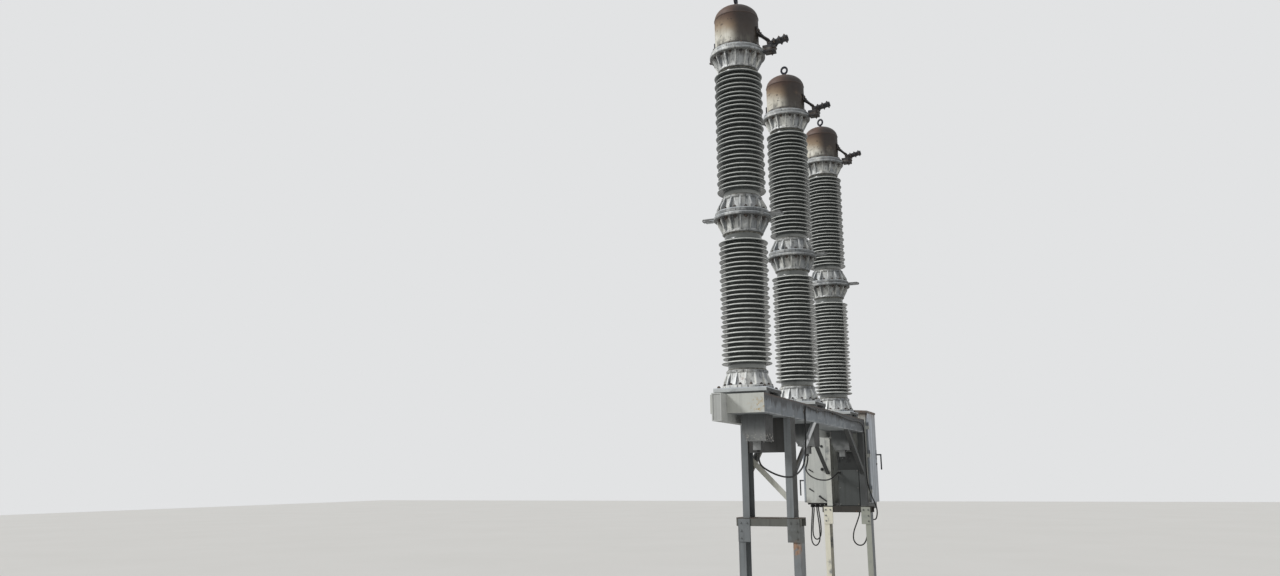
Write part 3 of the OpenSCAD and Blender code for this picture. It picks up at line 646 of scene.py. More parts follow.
def make_paints(colours):
    """Painted steel, and the plain two-tone materials."""
    stand, cabinet = colours.stand, colours.cabinet
    painted("near_leg_paint", stand, rust=0.2, more=near_leg)
    painted("near_post_paint", stand, rust=0.16, more=near_post)
    painted("far_leg_paint", stand, rust=0.16, more=far_leg)
    painted("far_post_paint", stand, rust=0.16, more=far_post)
    painted("crossbeam_paint", tone(90, 91, 86), rust=0.2, dust=0.6, more=rusty_edge)
    painted("far_crossbeam_paint", tone(46, 43, 38), rust=0.25, dust=0.3)
    painted("knee_paint", tone(78, 80, 81), rust=0.15, more=painted_lit_top)
    painted("far_knee_paint", tone(64, 66, 66), rust=0.15)
    painted("cross_brace_paint", tone(202, 202, 192), streaks=0.25, rust=0.15, dirt=0.2)
    painted("beam_paint", colours.beams, streaks=0.5, dirt=0.55, more=stains_and_highlight)
    painted("end_paint", tone(186, 188, 182), streaks=0.16, mottle=0.16, rust=0.05,
            dirt=0.18, light=1.06, more=end_face)
    painted("duct_paint", tone(182, 184, 181), streaks=0.22, mottle=0.2, rust=0.05,
            dirt=0.25, light=1.08, more=duct_face)
    # The shear plate's dark grey is painted shade.
    painted("shear_paint", tone(54, 54, 53), streaks=0.35, rust=0.08, light=1.15)
    painted("plate_paint", tone(132, 137, 139), streaks=0.35, rust=0.2, dust=0.5,
            more=plate_edges)
    painted("bracket_paint", tone(84, 86, 86), rust=0.22)
    # Poles 2 and 3 get darker copies of the housing paint: painted shade.
    for number, share in ((1, 1.0), (2, 0.42), (3, 0.8)):
        painted(f"housing_paint_{number}", scaled(colours.housing, share), streaks=0.6,
                mottle=0.3, rust=0.08, dirt=0.35, light=1.3, more=specks_and_shade)
    painted("clamp_metal", tone(42, 43, 47), streaks=0.2, more=clamp_marks)
    sheet = {"mottle": 0.2, "rust": 0.08, "dirt": 0.2, "light": 1.1, "rough": (0.4, 0.65)}
    painted("cabinet_paint", cabinet, streaks=0.28, more=run_down, **sheet)
    # The doors get a darker, bluish copy of the cabinet colour: painted shade with a skylight
    # tint.
    painted("door_paint", tone(147, 153, 159), streaks=0.35, more=door_marks, **sheet)
    painted("roof_paint", tone(112, 108, 104), streaks=0.2, rust=0.3, dirt=0.4,
            more=roof_dirt)
    painted("relay_paint", tone(64, 67, 66), streaks=0.4, mottle=0.25, rust=0.06,
            light=1.12, more=relay_marks)
    painted("gland_paint", tone(34, 34, 35), streaks=0.2, mottle=0.3, rust=0.08)
    painted("handle_paint", tone(40, 42, 44), streaks=0.0, mottle=0.4, rough=(0.35, 0.6))
    # Dark paint of the two face lugs: a painted shadow.
    painted("lug_shadow_paint", tone(60, 62, 62), streaks=0.3, mottle=0.4, rust=0.1)
    for name, (rough, metal, blots, first, second, relief) in TWO_TONE.items():
        f = Finish(name, first, rough, metal)
        f.coat(second, f.blots(*blots))
        if name == "cable_sheath":
            dusty_top(f)
        f.relief(relief)
        f.done()


def make_cast_metal(colours):
    """Bright weathered metal with dark runs, darker under the rings; painted light on faces turned
    up and ring edges, painted shade below, on the away side and at the rings' lower edges.
    """
    f = Finish("cast_metal", colours.casting, metallic=0.2)
    f.coat(tone(238, 238, 232), f.blots(4.5, 5, 0.36, 0.62))
    f.coat(tone(132, 140, 150), f.blots(6, 4, 0.52, 0.7, 0.5, (2, 9, 4)))
    # Painted shade on the side turned away from the light.
    f.coat(tone(104, 111, 120), f.facing(Y, -0.1, -0.75, 0.7), f.blots(8, 4, 0.15, 0.5))
    f.coat(tone(58, 60, 62), f.runs((62, 62, 6), 6, 0.54, 0.64, 0.85))
    # Painted light on faces turned up.
    f.coat(tone(232, 234, 234), f.facing(Z, 0.02, 0.3), f.blots(12, 5, 0.3, 0.5, 0.75))
    f.coat(tone(78, 78, 76), f.blots(60, 5, 0.6, 0.7, 0.6))
    f.coat(RUST, f.blots(9, 4, 0.62, 0.72, 1, (7, 3, 1)), f.blots(40, 3, 0.45, 0.6, 0.5))
    # Painted shade on faces turned down.
    f.coat(tone(74, 77, 80), f.facing(Z, -0.3, -0.9, 0.6))
    f.coat(tone(84, 90, 94), f.within(Z, MIDDLE_Z, UPPER_Z, 0.01),
           f.blots(10, 4, 0.2, 0.5, 0.35))
    for low, tall, seen in ((MIDDLE_Z + BELL_H, MIDDLE_RING_H, 80),
                            (TOP_Z + BELL_H, TOP_RING_H, 104)):
        top, half = low + tall, low + tall / 2
        f.coat(tone(88, 82, 76), f.within(Z, low - 0.040, low, 0.022),
               f.blots(20, 5, 0.34, 0.6, 0.55))
        f.coat(tone(seen, seen + 3, seen + 5), f.within(Z, low, top, 0.002),
               f.blots(13, 5, 0.3, 0.62, 0.72))
        # Painted highlights on the upper edges of both plates.
        lit_upper_edges = f.maths("MAXIMUM", f.within(Z, top - 0.009, top, 0.003),
                       f.within(Z, half - 0.013, half - 0.006, 0.003))
        f.coat(tone(204, 210, 214), lit_upper_edges, f.blots(11, 4, 0.3, 0.55, 0.6))
        # Painted shade at the lower edge of the ring, and a dark gasket in the groove.
        f.coat(GRIME_AND_SHADE, f.within(Z, low, low + 0.006, 0.003), 0.6)
        f.coat(GRIME_AND_SHADE, f.within(Z, half - 0.004, half + 0.003, 0.0015), 0.8)
    f.coat(tone(86, 86, 84), f.past(Y, -0.255, -0.275), f.blots(16, 5, 0.2, 0.6, 0.6))
    f.coat(tone(60, 49, 41), f.past(Y, -0.262, -0.285), f.past(Z, TOP_Z, TOP_Z + 0.05),
           f.blots(22, 5, 0.2, 0.6, 0.95))
    for hollow in (MIDDLE_Z + 0.01, UPPER_Z - 0.01, TOP_Z + 0.01, LOWER_Z - 0.01):
        f.coat(GRIME_AND_SHADE, f.within(Z, hollow - 0.012, hollow + 0.012, 0.012),
               f.blots(24, 4, 0.4, 0.6, 0.6))
    f.relief((160, 3, 0.0008), (28, 4, 0.0016))
    f.done(f.noise(20), 0.35, 0.4)


def make_porcelain(colours):
    """Glaze with painted highlights on the rims, dust and painted light on top, painted shade
    below, at the core and on the top neck.
    """
    base = tuple(colours.porcelain)
    f = Finish("porcelain_glaze", base, 0.3)
    away = f.from_axis()
    f.coat(scaled(base, 1.2), f.blots(2.4, 5, 0.38, 0.66))
    f.coat(scaled(base, 0.55), f.runs((20, 20, 1.4), 5, 0.52, 0.7, 0.4))
    # Painted shade under the sheds.
    f.coat(tone(62, 66, 66), f.facing(Z, -0.15, -0.75, 0.8))
    # Dust and painted light on the upper sides.
    dust_and_light = f.both(f.facing(Z, 0.12, 0.7), f.blots(11, 5, 0.3, 0.62, 0.8))
    f.coat(tone(160, 162, 156), dust_and_light)
    # Painted highlights on the rims.
    f.coat(tone(230, 232, 226), f.mask(away, 0.200, 0.2095), f.facing(Z, -0.45, 0.1),
           f.blots(15, 5, 0.2, 0.5, 0.95, (4, 2, 6)))
    # Painted shade at the core between the sheds.
    f.coat(tone(44, 46, 45), f.mask(away, 0.192, 0.174, 0.65), f.blots(6, 4, 0.2, 0.45))
    # The neck under the top casting is darkened: painted shade.
    for low, high, seen in ((LOWER_Z, LOWER_Z + 0.045, 138), (MIDDLE_Z - 0.05, MIDDLE_Z, 96),
                            (UPPER_Z, UPPER_Z + 0.045, 138), (TOP_Z - 0.03, TOP_Z, 52)):
        f.coat(tone(seen, seen + 3, seen), f.within(Z, low, high, 0.004),
               f.mask(away, 0.172, 0.169, 0.85))
    f.coat(tone(72, 72, 66), f.blots(48, 4, 0.62, 0.72, 0.4))
    f.relief((36, 3, 0.0004))
    f.shader.inputs["Coat Weight"].default_value = 0.12
    f.shader.inputs["Coat Roughness"].default_value = 0.2
    f.done(dust_and_light, 0.45, 0.26)


def make_cap_paint(colours):
    """Brown dome and shoulder, beige fading to cream on the wall, painted shade on the side turned
    away from the light.
    """
    f = Finish("cap_paint", tone(196, 192, 178), 0.6)
    high = f.ragged(f.at[Z], f.noise(4.5, 5), 0.10)
    high = f.maths("ADD", high, f.maths("MULTIPLY", f.faces[Y], -0.06))
    f.coat(tone(214, 211, 200), f.blots(7, 4, 0.4, 0.62))
    f.coat(tone(122, 118, 110), f.runs((26, 26, 2), 6, 0.54, 0.68, 0.5))
    f.coat(colours.cap, f.mask(high, CAP_Z + 0.08, CAP_Z + 0.22))
    f.coat(colours.cap_rust, f.mask(high, CAP_Z + 0.17, CAP_Z + 0.33, 0.95))
    # Painted shade on the side turned away from the light.
    f.coat(tone(46, 40, 38), f.facing(Y, 0.15, -0.45, 0.94), f.blots(5, 5, 0.15, 0.45))
    f.coat(tone(50, 44, 40), f.blots(34, 5, 0.58, 0.64, 0.9, (3, 3, 3)),
           f.blots(6, 3, 0.38, 0.56, 1, (1, 5, 2)))
    seam = CAP_Z + CAP_WALL
    f.coat(tone(60, 46, 40), f.within(Z, seam - 0.012, seam + 0.002, 0.004), 0.7)
    f.coat(tone(50, 48, 46), f.within(Z, CAP_Z, CAP_Z + 0.040, 0.008), 0.8)
    f.coat(tone(92, 90, 82), f.within(Z, CAP_Z + 0.02, CAP_Z + 0.09, 0.03),
           f.runs((18, 18, 5), 5, 0.46, 0.62, 0.7))
    f.relief((70, 4, 0.0008), (11, 5, 0.0015))
    f.done(f.noise(12), 0.35, 0.42)


# Finish of every CAD node, by how its name starts
NODE_FINISH = {
    "near_leg_paint": "near_legs", "near_post_paint": "near_posts",
    "far_leg_paint": "far_legs", "far_post_paint": "far_posts",
    "crossbeam_paint": "near_crossbeam", "far_crossbeam_paint": "far_crossbeam",
    "shear_paint": "shear_plate", "cross_brace_paint": "cross_brace",
    "knee_paint": "near_knee", "far_knee_paint": "far_knee",
    "beam_paint": "left_beam right_beam far_end_plate", "end_paint": "near_end_plate",
    "plate_paint": "frame_floor mount_plate", "duct_paint": "linkage_duct",
    "housing_paint_1": "housing_1", "housing_paint_2": "housing_2",
    "housing_paint_3": "housing_3", "clamp_metal": "line_clamp",
    "cabinet_paint": "cabinet_body", "roof_paint": "cabinet_roof",
    "door_paint": "right_door left_door", "bracket_paint": "cabinet_brackets",
    "gland_paint": "gland_plate", "relay_paint": "relay_box", "zinc_bolt": "cable_clips",
    "cast_metal": "foot_flange middle_flange top_flange", "cap_paint": "cap_",
    "porcelain_glaze": "lower_insulator upper_insulator",
    "cable_sheath": "pole_cable relay_cable link_cable spare_loop",
}


class Finishes(bpy.types.Operator):
    """Makes the weathered finishes and paints the CAD nodes with them"""

    bl_idname = "breaker.finishes"
    bl_label = "Finishes"

    def execute(self, context):
        for make in (make_paints, make_cast_metal, make_porcelain, make_cap_paint):
            make(context.scene.breaker_colours)
        for name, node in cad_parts.items():
            finish = next(finish for finish, starts in NODE_FINISH.items()
                          if name.startswith(tuple(starts.split())))
            node.data.materials.clear()
            node.data.materials.append(FINISH[finish])
        return {"FINISHED"}


# ---------------------------------------------------------------- camera and cables


class PhotoCamera(bpy.types.Operator):
    """Sets up the camera from which the object was photographed"""

    bl_idname = "breaker.camera"
    bl_label = "Photo camera"

    def execute(self, context):
        yaw, pitch, roll = (math.radians(angle) for angle in PHOTO_ANGLES)
        ahead = Vector((math.cos(pitch) * math.cos(yaw), math.cos(pitch) * math.sin(yaw),
                        math.sin(pitch)))
        level = Vector((math.sin(yaw), -math.cos(yaw), 0))
        over = level.cross(ahead)
        right = math.cos(roll) * level + math.sin(roll) * over
        up = math.cos(roll) * over - math.sin(roll) * level
        lens = bpy.data.cameras.new("photo_camera")
        lens.sensor_width = 36
        lens.lens = PHOTO_FOCUS * lens.sensor_width / PHOTO_WIDTH
        lens.clip_end = 200
        camera = bpy.data.objects.new("photo_camera", lens)
        context.collection.objects.link(camera)
        camera.matrix_world = shift(*PHOTO_EYE) @ Matrix((right, up, -ahead)).transposed().to_4x4()
        context.scene.camera = camera
        return {"FINISHED"}


# Routes of the cables, as in the CAD model, in metres
CABLE_ROUTES = {
    "pole_cable": [
        (-2.3, -0.077, 1.801), (-2.3, -0.077, 1.77), (-2.29, -0.081, 1.728),
        (-2.255, -0.088, 1.692), (-2.18, -0.108, 1.659), (-2.06, -0.152, 1.619),
        (-1.93, -0.202, 1.594), (-1.84, -0.25, 1.594), (-1.74, -0.264, 1.615),
        (-1.6, -0.264, 1.65), (-1.49, -0.264, 1.692), (-1.41, -0.263, 1.758),
        (-1.355, -0.26, 1.852), (-1.318, -0.257, 1.975), (-1.306, -0.256, 2.12),
        (-1.298, -0.256, 2.21), (-1.25, -0.256, 2.26), (-1.13, -0.256, 2.266),
        (-0.753, -0.256, 2.25), (-0.403, -0.256, 2.272), (-0.013, -0.256, 2.274),
        (0.397, -0.256, 2.254), (0.827, -0.256, 2.24), (1.4, -0.256, 2.246),
        (1.61, -0.256, 2.205), (1.676, -0.256, 2.12), (1.69, -0.256, 2.02),
        (1.7, -0.258, 1.54), (1.722, -0.295, 1.36), (1.764, -0.343, 1.2),
        (1.842, -0.318, 1.082), (1.9, -0.268, 1.06), (1.945, -0.2, 1.092),
        (1.958, -0.16, 1.14), (1.96, -0.15, 1.185), (1.96, -0.15, 1.228)],
    "relay_cable": [
        (-0.55, -0.077, 1.801), (-0.55, -0.077, 1.768), (-0.53, -0.062, 1.722),
        (-0.45, -0.028, 1.68), (-0.27, 0.003, 1.635), (0.0, 0.022, 1.59),
        (0.33, 0.03, 1.56), (0.7, 0.042, 1.55), (1.06, 0.058, 1.562),
        (1.38, 0.07, 1.602), (1.56, 0.072, 1.636), (1.6, 0.072, 1.64),
        (1.621, 0.072, 1.64)],
    "link_cable": [
        (1.697, -0.14, 1.166), (1.697, -0.14, 1.13), (1.69, -0.108, 1.04),
        (1.688, -0.062, 0.92), (1.698, -0.054, 0.822), (1.728, -0.092, 0.764),
        (1.768, -0.148, 0.762), (1.812, -0.184, 0.82), (1.862, -0.198, 0.94),
        (1.9, -0.183, 1.11), (1.905, -0.18, 1.18), (1.905, -0.18, 1.228)],
    "spare_loop_1": [
        (1.91, 0.5, 1.206), (1.91, 0.5, 1.168), (1.917, 0.521, 0.97),
        (1.923, 0.528, 0.8), (1.924, 0.5, 0.738), (1.924, 0.46, 0.738),
        (1.922, 0.424, 0.8), (1.916, 0.421, 0.97), (1.91, 0.44, 1.168),
        (1.91, 0.44, 1.206)],
    "spare_loop_2": [
        (2.0, 0.5, 1.206), (2.0, 0.5, 1.168), (2.006, 0.52, 1.01),
        (2.012, 0.527, 0.866), (2.012, 0.5, 0.808), (2.012, 0.46, 0.808),
        (2.012, 0.427, 0.866), (2.006, 0.424, 1.01), (2.0, 0.44, 1.168),
        (2.0, 0.44, 1.206)],
}


def smooth_route(points, steps=5):
    """Points of a curve through the route, straight at both ends."""
    points = [Vector(point) for point in points]
    result = []
    for k in range(len(points) - 1):
        before = points[max(k - 1, 0)]
        start, end = points[k], points[k + 1]
        after = points[min(k + 2, len(points) - 1)]
        reach = (end - start).length
        leave = (end - before).normalized() * reach if k else (end - start)
        arrive = (after - start).normalized() * reach if k < len(points) - 2 else (end - start)
        for step in range(steps):
            t = step / steps
            result.append((2 * t**3 - 3 * t**2 + 1) * start + (t**3 - 2 * t**2 + t) * leave
                          + (3 * t**2 - 2 * t**3) * end + (t**3 - t**2) * arrive)
    return result + [points[-1]]


class Cables(bpy.types.Operator):
    """Lays the control cables from gland to gland"""

    bl_idname = "breaker.cables"
    bl_label = "Cables"

    def execute(self, context):
        diameter = context.scene.breaker_sizes.cable
        for node, route in CABLE_ROUTES.items():
            path = smooth_route(route)
            curve = bpy.data.curves.new(node + "_sheath", "CURVE")
            curve.dimensions = "3D"
            curve.bevel_depth = diameter / 2
            curve.bevel_resolution = 3
            curve.use_fill_caps = True
            spline = curve.splines.new("POLY")
            spline.points.add(len(path) - 1)
            for dot, place in zip(spline.points, path):
                dot.co = (*place, 1)
            spline.use_smooth = True
            cable = bpy.data.objects.new(node + "_sheath", curve)
            context.collection.objects.link(cable)
            curve.materials.append(FINISH["cable_sheath"])
            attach(cable, "frame")
            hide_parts(node)
            length = sum((b - a).length for a, b in zip(path, path[1:]))
            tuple(route[0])
        return {"FINISHED"}


# ---------------------------------------------------------------- poles


class Porcelain(bpy.types.Operator):
    """Turns one insulator with its sheds and sets a copy on every pole"""

    bl_idname = "breaker.porcelain"
    bl_label = "Porcelain"

    def shed(self, base, radius):
        """Outline of one shed from its underside to its upper root."""
        drip = radius - 0.008
        return [(CORE_R, base), (CORE_R + 0.004, base + 0.0035), (CORE_R + 0.010, base + 0.005),
                (drip - 0.012, base - 0.0005), (drip, base - 0.003), (drip + 0.004, base - 0.0025),
                (radius - 0.0015, base + 0.0005), (radius, base + 0.004),
                (radius - 0.0012, base + 0.0075), (radius - 0.005, base + 0.0105),
                (CORE_R + 0.022, base + 0.0185), (CORE_R + 0.008, base + 0.0245),
                (CORE_R + 0.002, base + 0.0285), (CORE_R, base + 0.032)]

    def turned(self, sizes, neck_below, neck_above):
        """One insulator on Z = 0 with large and small sheds by turns, a large one at each end."""
        count = 2 * sizes.sheds - 1
        pitch = (PORCELAIN_H - neck_below - neck_above) / count
        first = neck_below + pitch / 4
        pair = self.shed(first, sizes.large_shed) + self.shed(first + pitch, sizes.small_shed)
        stack = lathe(pair + [(CORE_R, first + 2 * pitch)], 72, closed=False)
        repeat = stack.modifiers.new("sheds", "ARRAY")
        repeat.count = sizes.sheds - 1
        repeat.use_relative_offset = False
        repeat.use_constant_offset = True
        repeat.constant_offset_displace = (0, 0, 2 * pitch)
        repeat.use_merge_vertices = True
        repeat.merge_threshold = 0.0002
        bpy.ops.object.modifier_apply(modifier="sheds")
        crest = first + (count - 1) * pitch
        last = lathe(self.shed(crest, sizes.large_shed) + [(CORE_R, crest + pitch)], 72,
                     closed=False)
        pieces = [stack, last]
        for part in pieces:
            edit(part)
            bpy.ops.mesh.fill_holes(sides=0)
            settle(part)
        for low, high in ((CEMENT_H, first), (crest + pitch, PORCELAIN_H - CEMENT_H)):
            pieces.append(lathe([(CORE_R - 0.001, low), (CORE_R, low), (CORE_R, high),
                                 (CORE_R - 0.001, high)], 72))
        for piece in pieces:
            piece.data.materials.append(FINISH["porcelain_glaze"])
        for low in (0, PORCELAIN_H - CEMENT_H):
            band = lathe([(CORE_R + 0.003, low), (CORE_R + 0.006, low + 0.003),
                          (CORE_R + 0.005, low + 0.009), (CORE_R + 0.001, low + CEMENT_H)], 72)
            band.data.materials.append(FINISH["cement"])
            pieces.append(band)
        return joined(pieces)

    def execute(self, context):
        sizes = context.scene.breaker_sizes
        for level, height, necks in (("lower", LOWER_Z, (0.050, 0.054)),
                                     ("upper", UPPER_Z, (0.050, 0.030))):
            insulator = self.turned(sizes, *necks)
            for number, x in enumerate(POLES, 1):
                spot = shift(x, 0, height) @ Matrix.Rotation(number, 4, "Z")
                keep(copies(insulator, [spot]), f"{level}_porcelain_{number}", None,
                     stands_for=[f"{level}_insulator_{number}"])
            bpy.data.objects.remove(insulator)
        return {"FINISHED"}


def bell(rib_reach):
    """Ribbed bell with its collar at Z = 0 and its flange side at the top."""
    wall = lathe([(0.183, 0), (0.187, 0.004), (0.187, 0.020), (0.185, 0.024), (0.179, 0.027),
                  (0.1785, 0.033), (0.184, 0.075), (0.1895, 0.112), (0.194, 0.126),
                  (0.201, 0.134), (0.210, BELL_H)], 84)
    rib = block((CORE_R, -0.0075, 0.012), (rib_reach, 0.0075, BELL_H), 0.0001, 1)
    knee = Vector((rib_reach - 0.016, 0, BELL_H * 0.55))
    chest = Vector((rib_reach, 0, BELL_H * 0.8))
    foot = Vector((0.187, 0, 0.012))
    edit(rib)
    for low, high in ((foot, knee), (knee, chest)):
        bpy.ops.mesh.select_all(action="SELECT")
        run = high - low
        bpy.ops.mesh.bisect(plane_co=low, plane_no=(run.z, 0, -run.x), use_fill=True,
                            clear_outer=True)
    bpy.ops.mesh.select_all(action="SELECT")
    bpy.ops.mesh.remove_doubles(threshold=0.0004)
    bpy.ops.mesh.dissolve_limited(angle_limit=math.radians(4))
    bpy.ops.mesh.select_all(action="SELECT")
    bpy.ops.mesh.bevel(offset=0.003, segments=2, affect="EDGES")
    settle(rib)
    turns = [turn((k + 0.5) * 360 / RIBS, "Z") for k in range(RIBS)]
    return joined([wall, copies(rib, turns, spare=False)])


def rings(height):
    """Pair of flange plates on top of a bell, the upper one a little smaller."""
    half, inner, upper = height / 2, RING_R - 0.020, RING_R - 0.012
    pair = lathe([(RING_R - 0.003, 0), (RING_R, 0.003), (RING_R, half - 0.004),
                  (RING_R - 0.002, half - 0.003), (inner, half - 0.003), (inner, half + 0.002),
                  (upper - 0.001, half + 0.002), (upper, half + 0.003),
                  (upper, height - 0.004), (upper - 0.004, height)], 96)
    return moved(pair, shift(0, 0, BELL_H))


def pad(round_end=0.018, holes=True):
    """Flat terminal pad from the pole axis towards +Y, its bolt holes cut through."""
    plate = block((-0.05, 0.20, 0), (0.05, PAD_REACH, 0.02), 0.0001, 1)
    edit(plate)
    bpy.ops.mesh.remove_doubles(threshold=0.0004)
    bpy.ops.mesh.select_all(action="DESELECT")
    bpy.ops.object.mode_set(mode="OBJECT")
    for side in plate.data.edges:
        ends = [plate.data.vertices[index].co for index in side.vertices]
        side.select = (min(end.y for end in ends) > PAD_REACH - 0.002
                       and abs(ends[0].z - ends[1].z) > 0.01)
    bpy.ops.object.mode_set(mode="EDIT")
    bpy.ops.mesh.select_mode(type="EDGE")
    bpy.ops.mesh.bevel(offset=round_end, segments=6, affect="EDGES")
    bpy.ops.mesh.select_mode(type="VERT")
    settle(plate)
    if holes:
        drill = joined([rod((x, y, -0.01), (x, y, 0.03), 0.007, 16) for x in (-0.025, 0.025)
                        for y in (PAD_REACH - 0.028, PAD_REACH - 0.078)])
        pick(plate)
        cut = plate.modifiers.new("holes", "BOOLEAN")
        cut.operation = "DIFFERENCE"
        cut.solver = "EXACT"
        cut.object = drill
        bpy.ops.object.modifier_apply(modifier="holes")
        bpy.data.objects.remove(drill)
    return plate


class Castings(bpy.types.Operator):
    """Casts the ribbed flanges of the poles and bolts them"""

    bl_idname = "breaker.castings"
    bl_label = "Castings"

    def execute(self, context):
        size = context.scene.breaker_sizes.flange_bolt
        over, about = turn(180, "X"), turn(180, "Z")
        wide, narrow = bell(RING_R - 0.026), bell(0.222)
        foot_ring = lathe([(0.228, 0), (0.230, 0.002), (0.230, 0.022), (0.227, FOOT_RING_H)], 96)
        foot = joined([foot_ring, moved(narrow, shift(0, 0, FOOT_RING_H + BELL_H) @ over)])
        level = shift(0, 0, BELL_H + 0.025)
        middle = joined([
            rings(MIDDLE_RING_H),
            copies(wide, [Matrix(), shift(0, 0, 2 * BELL_H + MIDDLE_RING_H) @ over]),
            copies(pad(), [level, level @ about], spare=False)])
        lug = moved(pad(0.049, False), shift(0, 0, BELL_H + 0.022) @ about)
        top = joined([rings(TOP_RING_H), wide, lug])
        middle_ring, top_ring = MIDDLE_Z + BELL_H, TOP_Z + BELL_H
        for number, x in enumerate(POLES, 1):
            for shape, name, height in ((foot, "foot", POLE_Z), (middle, "middle", MIDDLE_Z),
                                        (top, "top", TOP_Z)):
                keep(copies(shape, [shift(x, 0, height)]), f"{name}_casting_{number}",
                     "cast_metal", stands_for=[f"{name}_flange_{number}"])
            bolts(f"foot_bolts_{number}", size * 0.85,
                  between_ribs(x, POLE_Z + FOOT_RING_H, 0.212, UP))
            bolts(f"middle_bolts_{number}", size,
                  between_ribs(x, middle_ring, BOLT_CIRCLE_R, DOWN)
                  + between_ribs(x, middle_ring + MIDDLE_RING_H, BOLT_CIRCLE_R, UP))
            pin = ((x, RING_R - 0.001, top_ring + 0.012), (0, 1, 0))
            bolts(f"top_bolts_{number}", size * 0.85,
                  between_ribs(x, top_ring, BOLT_CIRCLE_R, DOWN)
                  + between_ribs(x, CAP_Z, 0.2325, UP) + [pin])
        for shape in (foot, middle, top):
            bpy.data.objects.remove(shape)
        return {"FINISHED"}


class Caps(bpy.types.Operator):
    """Turns the domed steel caps and their lifting eyes"""

    bl_idname = "breaker.caps"
    bl_label = "Caps"

    def execute(self, context):
        shoulder = CAP_WALL + 0.002
        outline = [(0.212, 0), (0.216, 0.003), (0.216, 0.013), (0.213, 0.016),
                   (0.209, 0.018), (CAP_R, 0.022), (CAP_R, CAP_WALL - 0.010),
                   (0.2095, CAP_WALL - 0.008), (0.2125, CAP_WALL - 0.004), (0.2095, CAP_WALL),
                   (CAP_R, shoulder)]
        outline += [(max(CAP_R * math.cos(math.radians(a)), 0.004),
                     shoulder + (DOME - 0.002) * math.sin(math.radians(a)))
                    for a in range(6, 91, 6)]
        shell = lathe(outline, 80)
        rest = joined([
            block((-0.015, CAP_R - 0.006, 0.06), (0.015, CAP_R + 0.020, 0.14), 0.004, 3),
            block((-0.021, CAP_R - 0.008, 0.054), (0.021, CAP_R + 0.003, 0.146))])
        crown = CAP_WALL + DOME
        for number, x in enumerate(POLES, 1):
            spot = shift(x, 0, CAP_Z)
            keep(copies(shell, [spot]), f"cap_shell_{number}", "cap_paint",
                 stands_for=[f"cap_{number}"])
            keep(copies(rest, [spot]), f"cap_rest_{number}", "eye_steel")
            pick()
            bpy.ops.mesh.primitive_torus_add(major_radius=0.0330, minor_radius=0.0115,
                                             major_segments=36, minor_segments=14)
            eye = moved(bpy.context.object,
                        shift(0, 0, crown + EYE_LIFT) @ turn(EYE_TURN[number - 1], "Z")
                        @ turn(90, "X") @ Matrix.Diagonal((1, 1.15, 1, 1)))
            shank = lathe([(0.018, crown - 0.010), (0.018, crown + 0.018), (0.014, crown + 0.024),
                           (0.011, crown + 0.030), (0.010, crown + 0.036)], 24)
            nut = lathe([(0.024, crown - 0.004), (0.024, crown + 0.014),
                         (0.021, crown + 0.018)], 6)
            keep(moved(joined([eye, shank, nut]), spot), f"lifting_eye_{number}", "eye_steel")
        for shape in (shell, rest):
            bpy.data.objects.remove(shape)
        return {"FINISHED"}


class LineClamps(bpy.types.Operator):
    """Bolts on the line clamps, their feet and straps"""

    bl_idname = "breaker.clamps"
    bl_label = "Line clamps"

    def execute(self, context):
        slope = turn(-10, "X")
        over = (slope @ Vector((0, 0, 1, 0))).to_3d()
        seat = TOP_Z + BELL_H + 0.042
        axis = seat + 0.048
        for number, x in enumerate(POLES, 1):
            barrel = shift(x, -0.300, axis) @ slope
            places = []
            for along in (-0.177, -0.125, -0.073):
                for side in (-0.042, 0.042):
                    places += [(barrel @ Vector((side, along, 0.009)), over),
                               (barrel @ Vector((side, along, -0.009)), -over)]
            places += [((x + side, y, seat + 0.014), UP) for side in (-0.026, 0.026)
                       for y in (-0.323, -0.357)]
            places.append(((x, -CAP_R - 0.0085, CAP_Z + 0.170), (0, -1, 0)))
            for side in (-0.034, 0.034):
                places += [((x + side, -0.2195, CAP_Z + 0.178), (0, -1, 0)),
                           ((x + side * 0.8, -0.335, seat - 0.036), DOWN)]
            bolts(f"clamp_bolts_{number}", 0.011, places, stud=1.5)
            # Bent strap to the cap, shoe on the lug and the plate that backs it from below
            top, bottom = Vector((x, -0.214, CAP_Z + 0.150)), Vector((x, -0.328, axis + 0.030))
            run = bottom - top
            slab = block((-0.050, -0.006, 0), (0.050, 0.006, run.length), 0.003)
            strap = [block((x - 0.050, -0.2195, CAP_Z + 0.140),
                           (x + 0.050, -0.2085, CAP_Z + 0.215), 0.003),
                     moved(slab, lying(top, run)),
                     block((x - 0.044, -0.352, seat - 0.002),
                           (x + 0.044, -0.258, seat + 0.032), 0.007, 3),
                     block((x - 0.050, -0.372, seat - 0.036),
                           (x + 0.050, -0.268, seat - 0.019), 0.006, 3)]
            keep(joined(strap), f"clamp_strap_{number}", "clamp_metal")
        return {"FINISHED"}


# ---------------------------------------------------------------- frame and stand


def weld_frame(x, low_y, high_y, z, radius):
    """Two weld beads across a post, on its near and its far face."""
    return [rod((face, low_y, z), (face, high_y, z), radius, 8) for face in (x, x + CHANNEL)]


